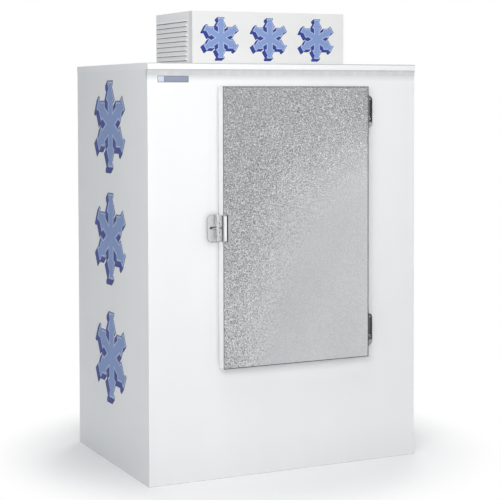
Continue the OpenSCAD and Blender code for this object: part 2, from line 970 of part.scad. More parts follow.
// Hot gas from the compressor's top to the condenser's top tube
module discharge_line() {
  z = uzb + cond_foot + cond_h * (coil_tubes - 0.5) / coil_tubes;
  x = cond_x + cond_t / 2;
  port_y = comp_y - port_off;
  color(copper)
    pipe([[comp_x, port_y, comp_z + comp_h], [comp_x, port_y, z], [comp_x, front_run_y, z],
      [x, front_run_y, z], [x, cond_y0 - stub, z]], tube_r, braze_t);
}

// Cold gas from the evaporator's bottom tube up to the compressor's side
module suction_line() {
  z = coil_z0 + 0.5 * coil_h / coil_tubes;
  color(copper)
    pipe([[coil_x1 + stub, coil_y, z], [drop_x, coil_y, z], [drop_x, suction_y, z],
      [drop_x, suction_y, suction_z], [drop_x, comp_y, suction_z],
      [comp_x + comp_r, comp_y, suction_z]], suction_r, braze_t);
}

// Liquid from the condenser's bottom tube through the receiver and the drier to the evaporator
module liquid_line() {
  cond_z = uzb + cond_foot + cond_h * 0.5 / coil_tubes;
  x = cond_x + cond_t / 2;
  evap_z = coil_z0 + (coil_tubes - 0.5) * coil_h / coil_tubes;
  color(copper) {
    pipe([[x, cond_y0 - stub, cond_z], [x, front_run_y, cond_z], [recv_x, front_run_y, cond_z],
      [recv_x, front_run_y, recv_z], [recv_x, recv_y0, recv_z]], tube_r, braze_t);
    bar([recv_x, recv_y0 + recv_l, recv_z], [recv_x, drier_y0, recv_z], tube_r);
    pipe([[recv_x, drier_y0 + drier_l, recv_z], [recv_x, liquid_y, recv_z],
      [drop_x, liquid_y, recv_z], [drop_x, liquid_y, evap_z], [drop_x, coil_y, evap_z],
      [coil_x1 + stub, coil_y, evap_z]], tube_r, braze_t);
  }
}

// A switch box with a lid, and the thermostat's shaft on its left face
module control_box() {
  t = box_lid_t;
  high = [box_x, box_y, uzb] + box_size;
  color(galvanised) {
    span([box_x, box_y, uzb], high);
    span([box_x - t, box_y - t, high.z - box_lid_h], high + [t, t, t]);
    bar([box_x - knob_l + knob_end_t, knob_y, knob_z], [box_x + cut, knob_y, knob_z], knob_shaft_r);
  }
}

// Leads from the control box to the compressor's terminal box and to the condenser fan's motor
module control_wiring() {
  terminal_y = comp_y + comp_r - terminal_in + terminal_box.y;
  low_x = box_x + wire_in;
  low_z = comp_z + terminal_z + terminal_box.z / 2;
  motor_x1 = motor_x + motor_l;
  front_y = comp_y - comp_r - wire_gap;
  high_z = min(fan_z + wire_up, uzb + box_size.z - box_lid_h - wire_r - line_gap);
  color(black) {
    pipe([[low_x, box_y + box_size.y, low_z], [low_x, terminal_y + wire_out, low_z],
      [comp_x, terminal_y + wire_out, low_z], [comp_x, terminal_y, low_z]], wire_r, 0);
    pipe([[box_x, front_y, high_z], [motor_x1 + wire_out, front_y, high_z],
      [motor_x1 + wire_out, fan_y, high_z], [motor_x1, fan_y, high_z]], wire_r, 0);
  }
}

module thermostat_knob() {
  color(black)
    translate([box_x - gap, knob_y, knob_z])
      rotate([0, -90, 0])
        difference() {
          union() {
            cylinder(h = knob_base_h, r = knob_r);
            span([-knob_r, -knob_grip_w / 2, 0], [knob_r, knob_grip_w / 2, knob_l]);
          }
          translate([0, 0, -cut])
            cylinder(h = knob_l - knob_end_t + cut, r = knob_shaft_r + run);
        }
}

module gland_hole() {
  translate([gland_x, uy1 - skin_t - cut, gland_z])
    rotate([-90, 0, 0])
      cylinder(h = skin_t + 2 * cut, r = gland_neck_r + gap);
}

// A cord gland with its nut inside the rear panel
module cord_gland() {
  color(black)
    translate([gland_x, uy1, gland_z])
      rotate([-90, 0, 0])
        difference() {
          union() {
            translate([0, 0, -skin_t - gland_nut])
              cylinder(h = gland_nut, r = gland_r);
            translate([0, 0, -skin_t - cut])
              cylinder(h = skin_t + gland_out + cut, r = gland_neck_r);
            cylinder(h = gland_nut, r = gland_r);
          }
          translate([0, 0, -skin_t - gland_nut - cut])
            cylinder(h = gland_nut + skin_t + gland_out + 2 * cut, r = gland_bore_r);
        }
}

// ---------- Housing round the condensing unit ----------

module housing_left_panel() {
  w = unit_d - sign_d;
  color(white)
    translate([ux0, uy1, uz0])
      rotate([0, 0, -90])
        louvred_sheet(w, unit_h - skin_t, louvre_back, w - louvre_front - louvre_back);
}

module housing_right_panel() {
  mirror([1, 0, 0])
    housing_left_panel();
}

module housing_rear_panel() {
  w = unit_w - 2 * skin_t;
  color(white)
    difference() {
      translate([ux1 - skin_t, uy1, uz0])
        rotate([0, 0, 180])
          louvred_sheet(w, unit_h - skin_t, gland_margin, w - gland_margin - louvre_front);
      gland_hole();
    }
}

// A flat lid with turned-down tabs inside the panels
module housing_top_cover() {
  top = uz1 - skin_t;
  t = skin_t;
  color(white) {
    span([ux0, us, top], [ux1, uy1, uz1]);
    for (x = [ux0 + t, ux1 - 2 * t])
      span([x, us + t, top - tab_w], [x + t, uy1 - t, top + t / 2]);
  }
}

// A shallow pan whose face carries the sign
module sign_panel() {
  t = skin_t;
  color(sign_white)
    difference() {
      span([ux0, uy0, uz0], [ux1, us, uz1]);
      span([ux0 + t, uy0 + t, uz0 + t], [ux1 - t, us + cut, uz1 - t]);
    }
}

// ---------- Door hardware on the cabinet ----------

// A plate that stands out of the front panel through the handle's slot, with a padlock hole
module lock_staple() {
  color(steel)
    difference() {
      union() {
        span([staple_x - staple_w / 2, yf - staple_out, handle_z - staple_t / 2],
          [staple_x + staple_w / 2, yf, handle_z + staple_t / 2]);
        translate([staple_x - staple_foot.x / 2, yf - staple_foot.z, handle_z - staple_foot.y / 2])
          cube([staple_foot.x, staple_foot.z, staple_foot.y]);
      }
      translate([staple_x, yf - staple_out + lock_in, handle_z - staple_t])
        cylinder(h = 2 * staple_t, r = lock_r);
    }
}

// A plate on the front panel with two knuckles, and the bore of the pin through them
module jamb_leaf(z) {
  k = knuckle_h;
  color(chrome)
    translate([axis_x, axis_y, z])
      difference() {
        union() {
          upright(hinge_off - leaf_t, leaf_t)
            rounded([-leaf_in, 0], [leaf_out, hinge_h], leaf_r);
          for (low = [0, 2 * k]) {
            translate([0, 0, low])
              cylinder(h = k, r = knuckle_r);
            span([-web_t / 2, 0, low], [web_t / 2, hinge_off - leaf_t + cut, low + k]);
          }
        }
        translate([0, 0, -cut])
          cylinder(h = hinge_h + 2 * cut, r = pin_r + run);
      }
}

// A plate on the door's edge with one knuckle between the jamb leaf's two
module door_leaf(z) {
  k = knuckle_h;
  low = k + bearing_t + gap;
  color(chrome)
    translate([axis_x, axis_y, z])
      difference() {
        union() {
          span([-hinge_off, door_yf + edge_leaf_in[0] - axis_y, 0],
            [-hinge_off + edge_leaf_t, door_yb - edge_leaf_in[1] - axis_y, hinge_h]);
          translate([0, 0, low])
            cylinder(h = 2 * k - gap - low, r = knuckle_r);
          span([-hinge_off + edge_leaf_t - cut, -web_t / 2, low], [0, web_t / 2, 2 * k - gap]);
        }
        translate([0, 0, -cut])
          cylinder(h = hinge_h + 2 * cut, r = pin_r + run);
      }
}

// A headed pin that drops in from the top
module hinge_pin(z) {
  color(chrome)
    translate([axis_x, axis_y, z]) {
      cylinder(h = hinge_h + cut, r = pin_r);
      translate([0, 0, hinge_h])
        cylinder(h = head_h, r = head_r);
    }
}

// Nylon washers that carry the door on the lower knuckles
module hinge_bearings() {
  color(white)
    for (z = hinge_zs)
      translate([axis_x, axis_y, z + knuckle_h])
        difference() {
          cylinder(h = bearing_t, r = knuckle_r - gap);
          translate([0, 0, -cut])
            cylinder(h = bearing_t + 2 * cut, r = pin_r + run);
        }
}

module upper_hinge_jamb_leaf() {
  jamb_leaf(hinge_zs[1]);
}

module lower_hinge_jamb_leaf() {
  jamb_leaf(hinge_zs[0]);
}

module upper_hinge_door_leaf() {
  door_leaf(hinge_zs[1]);
}

module lower_hinge_door_leaf() {
  door_leaf(hinge_zs[0]);
}

module upper_hinge_pin() {
  hinge_pin(hinge_zs[1]);
}

module lower_hinge_pin() {
  hinge_pin(hinge_zs[0]);
}

// ---------- Door ----------

module door_outer_skin() {
  color(stucco)
    span([door_x0, door_yf, door_z], [door_x1, door_yf + door_skin_t, door_z1]);
}

// A channel-shaped frame round the door's edges
module door_edge_trim() {
  t = door_trim_t;
  lip = door_trim_lip;
  y0 = door_yf + door_skin_t;
  color(white)
    difference() {
      span([door_x0, y0, door_z], [door_x1, door_yb, door_z1]);
      span([door_x0 + t, y0 + t, door_z + t], [door_x1 - t, door_yb - t, door_z1 - t]);
      span([door_x0 + lip, y0 - cut, door_z + lip], [door_x1 - lip, door_yb + cut, door_z1 - lip]);
    }
}

module door_foam() {
  t = door_trim_t;
  y0 = door_yf + door_skin_t;
  lip = door_trim_lip;
  color(foam) {
    span([door_x0 + t, y0 + t, door_z + t], [door_x1 - t, door_yb - t, door_z1 - t]);
    span([door_x0 + lip, y0, door_z + lip], [door_x1 - lip, y0 + 2 * t, door_z1 - lip]);
  }
}

// A flat inner panel set into the trim
module door_inner_panel() {
  lip = door_trim_lip;
  color(white)
    span([door_x0 + lip, door_yb - door_trim_t, door_z + lip], [door_x1 - lip, door_yb, door_z1 - lip]);
}

// The gasket, a soft frame that stops just short of the front panel
module door_gasket() {
  a = gasket_in;
  b = gasket_in + gasket_w;
  color(grey_rubber)
    upright(door_yb, gasket_t - gap)
      difference() {
        rounded([door_x0 + a, door_z + a], [door_x1 - a, door_z1 - a], gasket_r);
        translate([door_x0 + b, door_z + b])
          square([door_w - 2 * b, door_h - 2 * b]);
      }
}

// A quarter of a bent plate: its middle line has radius r and starts at angle a
module quarter(centre, r, a) {
  translate(centre)
    rotate(a)
      intersection() {
        difference() {
          circle(r = r + plate_t / 2);
          circle(r = r - plate_t / 2);
        }
        square(r + plate_t);
      }
}

// Plan of the handle: tongue, leg on the door's edge, raised flange, step and foot
module handle_plan() {
  t = plate_t;
  tongue_y = yf - finger_gap - t;
  leg_x = door_x0 - t;
  top_y = door_yf - raise - t;
  step_x = door_x0 + raised_w - t;
  foot_y = door_yf - t;
  translate([door_x0 - tongue_w, tongue_y])
    square([tongue_w - leg_bend - t / 2, t]);
  quarter([leg_x + t / 2 - leg_bend, tongue_y + t / 2 - leg_bend], leg_bend, 0);
  translate([leg_x, top_y + t / 2 + leg_bend])
    square([t, tongue_y - top_y - 2 * leg_bend]);
  quarter([leg_x + t / 2 + leg_bend, top_y + t / 2 + leg_bend], leg_bend, 180);
  translate([leg_x + t / 2 + leg_bend, top_y])
    square([step_x - leg_x - leg_bend - step_bend, t]);
  quarter([step_x + t / 2 - step_bend, top_y + t / 2 + step_bend], step_bend, 270);
  translate([step_x, top_y + t / 2 + step_bend])
    square([t, foot_y - top_y - 2 * step_bend]);
  quarter([step_x + t / 2 + step_bend, foot_y + t / 2 - step_bend], step_bend, 90);
  translate([step_x + t / 2 + step_bend, foot_y])
    square([foot_w - step_bend, t]);
}

module door_handle() {
  low = handle_z - handle_h / 2;
  left = door_x0 - tongue_w;
  r = tongue_r;
  color(steel)
    difference() {
      translate([0, 0, low])
        linear_extrude(height = handle_h)
          handle_plan();
      for (side = [0, 1])
        translate([0, 0, handle_z])
          mirror([0, 0, side])
            upright(yf - 3 * finger_gap, 3 * finger_gap)
              difference() {
                translate([left - cut, handle_h / 2 - r])
                  square(r + cut);
                translate([left + r, handle_h / 2 - r])
                  circle(r = r);
              }
      upright(yf - 3 * finger_gap, 3 * finger_gap)
        rounded([staple_x - slot_w / 2, handle_z - slot_h / 2],
          [staple_x + slot_w / 2, handle_z + slot_h / 2], slot_h / 2 - slot_flat);
    }
}

base_pan();
left_side_panel();
right_side_panel();
rear_panel();
front_panel();
roof_panel();
floor_insulation();
ceiling_insulation();
left_wall_insulation();
right_wall_insulation();
rear_wall_insulation();
front_wall_insulation();
inner_liner();
doorway_breaker();
floor_rack();
evaporator_housing();
evaporator_coil();
evaporator_fan_motor();
evaporator_fan_guard();
evaporator_drain_pan();
evaporator_fan();
defrost_heater();
drain_tube();
unit_base_plate();
compressor();
compressor_mounts();
condenser_coil();
fan_shroud();
condenser_fan();
condenser_fan_motor();
fan_motor_bracket();
liquid_receiver();
filter_drier();
discharge_line();
suction_line();
liquid_line();
control_box();
control_wiring();
thermostat_knob();
cord_gland();
housing_left_panel();
housing_right_panel();
housing_rear_panel();
housing_top_cover();
sign_panel();
lock_staple();
upper_hinge_jamb_leaf();
lower_hinge_jamb_leaf();
upper_hinge_pin();
lower_hinge_pin();
hinge_bearings();
door_outer_skin();
door_edge_trim();
door_foam();
door_inner_panel();
door_gasket();
door_handle();
upper_hinge_door_leaf();
lower_hinge_door_leaf();
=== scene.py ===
import math

import bmesh
import bpy
from mathutils import Matrix, Vector


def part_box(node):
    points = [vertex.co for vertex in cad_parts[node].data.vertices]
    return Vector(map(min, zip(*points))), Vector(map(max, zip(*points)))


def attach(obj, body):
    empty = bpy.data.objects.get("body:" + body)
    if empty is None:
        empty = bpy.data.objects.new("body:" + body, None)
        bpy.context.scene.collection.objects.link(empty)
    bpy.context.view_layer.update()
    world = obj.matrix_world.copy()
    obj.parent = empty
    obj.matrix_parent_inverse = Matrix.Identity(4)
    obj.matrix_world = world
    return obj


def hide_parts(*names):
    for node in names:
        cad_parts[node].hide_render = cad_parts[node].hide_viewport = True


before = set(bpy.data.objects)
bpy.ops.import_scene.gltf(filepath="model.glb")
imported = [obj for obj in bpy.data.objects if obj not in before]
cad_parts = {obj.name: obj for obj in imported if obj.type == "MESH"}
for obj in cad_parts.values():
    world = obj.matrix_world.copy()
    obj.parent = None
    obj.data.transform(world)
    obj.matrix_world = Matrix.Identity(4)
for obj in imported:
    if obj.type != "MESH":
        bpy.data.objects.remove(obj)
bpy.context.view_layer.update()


# ---------- Studio ----------
# A plain pale floor under soft lamps, with the camera where the photograph was taken from.
# Away from the freezer the floor fades to the same plain white as the backdrop.

camera_spot = (-2.795, -5.919, 1.617)
camera_turn = -25.57  # degrees about Z, from looking straight back
camera_tilt = -2.12
camera_roll = 0.146
focal_px = 1429
photo_px = 500
film_mm = 36
lens_shift = -0.2

camera_data = bpy.data.cameras.new("camera")
camera_data.sensor_width = film_mm
camera_data.lens = focal_px * film_mm / photo_px
camera_data.shift_y = lens_shift
camera_data.clip_end = 100
camera = bpy.data.objects.new("camera", camera_data)
camera.location = camera_spot
camera.rotation_euler = [math.radians(a) for a in (90 + camera_tilt, camera_roll, camera_turn)]
bpy.context.scene.collection.objects.link(camera)
bpy.context.scene.camera = camera
bpy.context.scene.view_settings.view_transform = "Standard"


def node(tree, kind, inputs=None, **settings):
    """Adds a shader node, sets its settings, and sets or links its inputs."""
    made = tree.nodes.new("ShaderNode" + kind)
    for name, value in settings.items():
        setattr(made, name, value)
    for socket, value in (inputs or {}).items():
        if isinstance(value, bpy.types.NodeSocket):
            tree.links.new(value, made.inputs[socket])
        else:
            made.inputs[socket].default_value = value
    return made


def maths(tree, operation, a, b=0.0, c=0.0):
    """One sum on values or sockets."""
    return node(tree, "Math", {0: a, 1: b, 2: c}, operation=operation).outputs[0]


def product(tree, first, *others):
    """Several values multiplied."""
    for other in others:
        first = maths(tree, "MULTIPLY", first, other)
    return first


def seen_plainly(tree):
    """1 where the eye, a mirror or a pane looks at the backdrop, 0 where it only gives light."""
    rays = node(tree, "LightPath").outputs
    eye_or_mirror = maths(tree, "MAXIMUM", rays["Is Camera Ray"], rays["Is Glossy Ray"])
    return maths(tree, "MAXIMUM", eye_or_mirror, rays["Is Transmission Ray"])


world = bpy.data.worlds.new("studio")
bpy.context.scene.world = world
world.use_nodes = True
ambient = 0.34
sky = world.node_tree
seen = seen_plainly(sky)
tint = node(sky, "Mix", {0: seen, 6: (0.88, 0.95, 1, 1), 7: (1, 1, 1, 1)}, data_type="RGBA")
level = node(sky, "MapRange", {"Value": seen, "To Min": ambient, "To Max": 1.0})
sky.links.new(tint.outputs[2], sky.nodes["Background"].inputs["Color"])
sky.links.new(level.outputs[0], sky.nodes["Background"].inputs["Strength"])

floor_mesh = bpy.data.meshes.new("floor")
floor_half = 30
floor_mesh.from_pydata(
    [(x * floor_half, y * floor_half, 0) for x, y in ((-1, -1), (1, -1), (1, 1), (-1, 1))],
    [],
    [(0, 1, 2, 3)],
)
floor = bpy.data.objects.new("floor", floor_mesh)
bpy.context.scene.collection.objects.link(floor)
paper = bpy.data.materials.new("white_paper")
paper.use_nodes = True
tree = paper.node_tree
matt = tree.nodes["Principled BSDF"]
matt.inputs["Base Color"].default_value = (0.94, 0.94, 0.945, 1)
matt.inputs["Roughness"].default_value = 0.9
matt.inputs["Specular IOR Level"].default_value = 0.1
spot = node(tree, "TexCoord").outputs["Object"]
distance = node(tree, "VectorMath", {0: spot}, operation="LENGTH").outputs["Value"]
fade_limits = {"Value": distance, "From Min": 0.65, "From Max": 1.2}
far = node(tree, "MapRange", fade_limits, interpolation_type="SMOOTHSTEP").outputs[0]
white = node(tree, "Emission", {"Color": (1, 1, 1, 1), "Strength": 1.0})
fade = product(tree, far, seen_plainly(tree))
mix = node(tree, "MixShader", {0: fade, 1: matt.outputs[0], 2: white.outputs[0]})
tree.links.new(mix.outputs[0], tree.nodes["Material Output"].inputs["Surface"])
floor.data.materials.append(paper)


def softbox(name, spot, target, size, watts):
    """A large soft lamp that shines from a spot towards a target."""
    lamp_data = bpy.data.lights.new(name, "AREA")
    lamp_data.shape = "RECTANGLE"
    lamp_data.size, lamp_data.size_y = size
    lamp_data.energy = watts
    lamp_data.color = (1, 0.985, 0.965)
    lamp = bpy.data.objects.new(name, lamp_data)
    lamp.location = spot
    lamp.rotation_euler = (Vector(target) - Vector(spot)).to_track_quat("-Z", "Y").to_euler()
    bpy.context.scene.collection.objects.link(lamp)


softbox("overhead_lamp", (-0.9, -1.8, 4.3), (-0.2, -0.4, 1.2), (1.8, 1.0), 30)
softbox("left_lamp", (-1.85, -3.1, 2.0), (-0.3, -0.4, 1.0), (1.8, 1.4), 54)
softbox("right_lamp", (2.6, -3.2, 1.8), (0.2, 0, 0.9), (1.6, 2.0), 13)
softbox("rear_lamp", (2.3, 3.0, 2.4), (0.2, 0.2, 1.0), (2.4, 1.6), 62)
softbox("glint_lamp", (1.6, -3.0, 2.6), (-0.1, -0.5, 1.4), (0.35, 0.35), 5)


# ---------- Cabinet sheets ----------
# Bent sheet steel in baked white enamel: sides, back, front with its doorway, and roof.
# The enamel has a faint orange peel, slight streaks and a little dust near the floor.


def new_material(name):
    """A material with its tree, its shader and the object's own coordinates."""
    material = bpy.data.materials.new(name)
    material.use_nodes = True
    tree = material.node_tree
    return material, tree, tree.nodes["Principled BSDF"], node(tree, "TexCoord").outputs["Object"]


def effect(name, inputs, outputs):
    """An empty node group with named float, vector or colour sockets."""
    group = bpy.data.node_groups.new(name, "ShaderNodeTree")
    kinds = {"f": "NodeSocketFloat", "v": "NodeSocketVector", "c": "NodeSocketColor"}
    for socket, kind in inputs.items():
        group.interface.new_socket(socket, in_out="INPUT", socket_type=kinds[kind])
    for socket, kind in outputs.items():
        group.interface.new_socket(socket, in_out="OUTPUT", socket_type=kinds[kind])
    given, result = group.nodes.new("NodeGroupInput"), group.nodes.new("NodeGroupOutput")
    return group, given.outputs, result.inputs


def use(tree, group, inputs):
    """Puts a shared effect into a material and returns its outputs."""
    return node(tree, "Group", inputs, node_tree=group).outputs


def noise(tree, where, scale, detail=2.0, stretch=None):
    """A grey noise, drawn out along an axis where stretch says so."""
    if stretch:
        where = node(tree, "Mapping", {"Vector": where, "Scale": stretch}).outputs[0]
    inputs = {"Vector": where, "Scale": scale, "Detail": detail}
    return node(tree, "TexNoise", inputs).outputs["Fac"]


def spread(tree, value, low, high, start=0.3, end=0.7):
    """Maps a value from one range to another, and the middle of a noise where none is given."""
    limits = {"Value": value, "From Min": start, "From Max": end, "To Min": low, "To Max": high}
    return node(tree, "MapRange", limits).outputs[0]


def tinted(tree, colour, factor):
    """A colour made darker or lighter by a factor."""
    return node(tree, "VectorMath", {0: colour, "Scale": factor}, operation="SCALE").outputs[0]


def raised(tree, shader, height, distance):
    """Gives a shader the bumps of a height."""
    bump = node(tree, "Bump", {"Height": height, "Distance": distance, "Strength": 1.0})
    tree.links.new(bump.outputs[0], shader.inputs["Normal"])


finish_sockets = {"Colour": "c", "Roughness": "f", "Height": "f"}
enamel_inputs = {"Where": "v", "Colour": "c"}
enamel_effect, given, result = effect("baked_enamel", enamel_inputs, finish_sockets)
tree = enamel_effect
cloud = noise(tree, given["Where"], 2.2, 3)
streak = noise(tree, given["Where"], 7, 2, (1, 1, 0.12))
height_up = node(tree, "SeparateXYZ", {0: given["Where"]}).outputs["Z"]
dust = spread(tree, height_up, 0.955, 1.0, start=0.0, end=0.16)
shade = product(tree, spread(tree, cloud, 0.985, 1.01), spread(tree, streak, 0.99, 1.006), dust)
tree.links.new(tinted(tree, given["Colour"], shade), result["Colour"])
tree.links.new(noise(tree, given["Where"], 260, 3), result["Height"])
tree.links.new(spread(tree, noise(tree, given["Where"], 9, 4), 0.3, 0.42), result["Roughness"])


def enamel(name, colour, peel_depth=0.00006, painted_shade=None):
    """Baked enamel of one colour, with painted shade where the given function gives a factor below
    1.
    """
    material, tree, shader, where = new_material(name)
    coat = use(tree, enamel_effect, {"Where": where, "Colour": (*colour, 1)})
    seen_colour = tinted(tree, coat["Colour"], painted_shade(tree, where)) if painted_shade else coat["Colour"]
    tree.links.new(seen_colour, shader.inputs["Base Color"])
    tree.links.new(coat["Roughness"], shader.inputs["Roughness"])
    raised(tree, shader, coat["Height"], peel_depth)
    shader.inputs["Specular IOR Level"].default_value = 0.3
    shader.inputs["Coat Weight"].default_value = 0.06
    shader.inputs["Coat Roughness"].default_value = 0.12
    return material


def finish_nodes(material, *names):
    """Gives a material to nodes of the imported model."""
    for name in names:
        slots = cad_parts[name].data.materials
        slots.clear()
        slots.append(material)


def painted_lip_shadow(tree, where):
    """A painted shadow under the roof's lip, that fades downwards and is heavier to the left."""
    axes = node(tree, "SeparateXYZ", {0: where}).outputs
    depth = spread(tree, axes["X"], 0.31, 0.2, start=-0.5, end=0.25)
    near = spread(tree, axes["Z"], 0.0, 1.0, start=1.685, end=1.713)
    return maths(tree, "SUBTRACT", 1.0, product(tree, depth, near))


white_enamel = enamel("white_enamel", (0.86, 0.865, 0.87))
finish_nodes(white_enamel, "left_side_panel", "right_side_panel", "rear_panel")
# The roof's enamel is painted lighter than the walls' white, as painted light on its lip.
finish_nodes(enamel("roof_enamel", (0.9, 0.905, 0.91)), "roof_panel")
# The front panel carries a painted shadow under the roof's lip.
finish_nodes(enamel("front_enamel", (0.86, 0.865, 0.87), painted_shade=painted_lip_shadow), "front_panel")


# ---------- Roof seals ----------
# Grey sealant, tooled to a hollow fillet under the roof's front lip, with a joint along the lip;
# its grey is partly painted shadow.
# The cooling unit's housing stands on a thin strip of closed-cell rubber that shows at its foot as
# painted shadow.


def shown(mesh, shape, material, smooth=40):
    """Puts a shape into the scene as a mesh of one material, smooth up to an angle."""
    shape.to_mesh(mesh)
    shape.free()
    mesh.materials.append(material)
    made = bpy.data.objects.new(mesh.name, mesh)
    bpy.context.scene.collection.objects.link(made)
    mesh.shade_smooth()
    mesh.set_sharp_from_angle(angle=math.radians(smooth))
    return made


def walls(rings, count, closed=False):
    """Faces between rings of count points each, and back to the first ring where closed."""
    faces = []
    for a in range(rings if closed else rings - 1):
        b = (a + 1) % rings
        for i in range(count):
            j = (i + 1) % count
            faces.append((a * count + i, a * count + j, b * count + j, b * count + i))
    return faces


def ends(rings, count):
    """The faces that close the first and the last ring."""
    return [tuple(range(count)), tuple(range((rings - 1) * count, rings * count))]


def mesh_object(name, points, faces, material, smooth=40):
    """A closed mesh whose faces point outwards."""
    mesh = bpy.data.meshes.new(name)
    mesh.from_pydata(points, [], faces)
    shape = bmesh.new()
    shape.from_mesh(mesh)
    bmesh.ops.remove_doubles(shape, verts=shape.verts, dist=1e-7)
    bmesh.ops.recalc_face_normals(shape, faces=shape.faces)
    return shown(mesh, shape, material, smooth)


def rounded_bar(name, low, high, radius, material):
    """A box with rounded edges from its low to its high corner."""
    shape = bmesh.new()
    bmesh.ops.create_cube(shape, size=1)
    centre = (Vector(low) + Vector(high)) / 2
    size = Vector(high) - Vector(low)
    for vertex in shape.verts:
        vertex.co = centre + Vector(a * b for a, b in zip(vertex.co, size))
    edges = shape.edges[:] + shape.verts[:]
    bmesh.ops.bevel(shape, geom=edges, offset=radius, segments=3, profile=0.5, affect="EDGES")
    return shown(bpy.data.meshes.new(name), shape, material)


def rubber(name, colour, painted_shade=None):
    """Dull rubber with a dry bloom, with painted shade where the given function gives a factor
    below 1.
    """
    material, tree, shader, where = new_material(name)
    bloom = spread(tree, noise(tree, where, 35, 5), 0.94, 1.06)
    if painted_shade:
        bloom = product(tree, bloom, painted_shade(tree, where))
    tree.links.new(tinted(tree, colour, bloom), shader.inputs["Base Color"])
    tree.links.new(spread(tree, noise(tree, where, 60, 3), 0.6, 0.8), shader.inputs["Roughness"])
    raised(tree, shader, noise(tree, where, 900, 3), 0.00004)
    shader.inputs["Specular IOR Level"].default_value = 0.2
    return material


front_low, front_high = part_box("front_panel")


def sealant_shade(tree, where):
    """Painted shade in the corner between the sealant and the lip, heavier to the left."""
    axes = node(tree, "SeparateXYZ", {0: where}).outputs
    clean_z, dirty_z = front_high.z - 0.005, front_high.z - 0.0015
    corner = spread(tree, axes["Z"], 1.0, 0.86, start=clean_z, end=dirty_z)
    return product(tree, corner, spread(tree, axes["X"], 0.93, 1.03, start=-0.5, end=0.25))


# The sealant's grey is partly its own colour and partly painted shadow under the lip.
sealant = rubber("sealant", (0.66, 0.67, 0.675), sealant_shade)
fillet = [
    (0, 0), (-4.8, 0), (-4.8, -1.2), (-3.3, -4.5), (-2.1, -9),
    (-1.2, -14), (-0.5, -19), (-0.12, -23), (0, -24),
]  # out from the front panel and down from the lip, in millimetres
end_gap = 0.0004
points = [
    (x, front_low.y + out / 1000, front_high.z + down / 1000)
    for x in (front_low.x + end_gap, front_high.x - end_gap)
    for out, down in fillet
]
faces = walls(2, len(fillet)) + ends(2, len(fillet))
roof_seal = mesh_object("roof_seal", points, faces, sealant)
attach(roof_seal, "cabinet")

roof_low, roof_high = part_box("roof_panel")
joint_w, joint_in, joint_out = 0.0024, 0.001, 0.0003
joint_z = roof_high.z - 0.0036
joint_grey = rubber("joint_sealant", (0.42, 0.425, 0.43))
low = (front_low.x + joint_in, roof_low.y - joint_out, joint_z)
high = (front_high.x - joint_in, roof_low.y + 0.0001, joint_z + joint_w)
lip_joint = rounded_bar("lip_joint", low, high, 0.0001, joint_grey)
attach(lip_joint, "cabinet")

# Painted shadow: dark strips round the housing's foot, where its contact shadow falls.
cell_rubber = rubber("cell_rubber", (0.09, 0.092, 0.095))
sign_low, sign_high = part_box("sign_panel")
housing_t = 0.0012
housing_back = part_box("unit_base_plate")[1].y + housing_t
strip = 0.0045
strip_top = sign_low.z + strip
for name, low, high in (
    ("left", (sign_low.x - strip, sign_high.y), (sign_low.x, housing_back)),
    ("right", (sign_high.x, sign_high.y), (sign_high.x + strip, housing_back)),
    ("rear", (sign_low.x - strip, housing_back), (sign_high.x + strip, housing_back + strip)),
):
    low, high = (*low, sign_low.z), (*high, strip_top)
    housing_seal = rounded_bar("housing_seal_" + name, low, high, 0.0008, cell_rubber)
    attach(housing_seal, "cabinet")


# ---------- Base pan, liner, rack and breaker ----------
# The pan and the floor rack are zinc-coated sheet with its frost-like spangle, and the liner is
# enamelled white. The doorway's frame is moulded in white plastic, and the walls hold rigid foam.

zinc_effect, given, result = effect("zinc_spangle", {"Where": "v", "Size": "f"}, finish_sockets)
tree = zinc_effect
warp = node(tree, "TexNoise", {"Vector": given["Where"], "Scale": 90}).outputs["Color"]
bend = {0: warp, 1: (0.006,) * 3, 2: given["Where"]}
bent = node(tree, "VectorMath", bend, operation="MULTIPLY_ADD")
flakes = node(tree, "TexVoronoi", {"Vector": bent.outputs[0], "Scale": given["Size"]})
grain = node(tree, "SeparateColor", {0: flakes.outputs["Color"]}).outputs[0]
tone = spread(tree, grain, 0.4, 0.62, start=0, end=1)
green, blue = product(tree, tone, 1.02), product(tree, tone, 1.05)
cold = node(tree, "CombineColor", {0: tone, 1: green, 2: blue})
tree.links.new(cold.outputs[0], result["Colour"])
tree.links.new(spread(tree, grain, 0.34, 0.5, start=0, end=1), result["Roughness"])
tree.links.new(product(tree, grain, 0.4), result["Height"])

zinc, tree, shader, where = new_material("zinc_sheet")
coat = use(tree, zinc_effect, {"Where": where, "Size": 85})
tree.links.new(coat["Colour"], shader.inputs["Base Color"])
tree.links.new(coat["Roughness"], shader.inputs["Roughness"])
raised(tree, shader, coat["Height"], 0.00005)
shader.inputs["Metallic"].default_value = 1.0
finish_nodes(zinc, "base_pan", "floor_rack", "unit_base_plate", "fan_motor_bracket", "control_box")

liner_white = enamel("liner_enamel", (0.82, 0.83, 0.84), peel_depth=0.00009)
finish_nodes(liner_white, "inner_liner")


def plastic(name, colour, rough, grain, depth):
    """Moulded plastic with a fine cast grain, given by how many per metre and how deep."""
    material, tree, shader, where = new_material(name)
    mottle = spread(tree, noise(tree, where, 14, 3), 0.95, 1.03)
    dullness = spread(tree, noise(tree, where, 40, 3), rough - 0.05, rough + 0.07)
    tree.links.new(tinted(tree, colour, mottle), shader.inputs["Base Color"])
    tree.links.new(dullness, shader.inputs["Roughness"])
    raised(tree, shader, noise(tree, where, grain, 4), depth)
    return material


white_plastic = plastic("white_plastic", (0.8, 0.81, 0.815), rough=0.35, grain=700, depth=0.00003)
finish_nodes(white_plastic, "doorway_breaker", "drain_tube", "hinge_bearings")

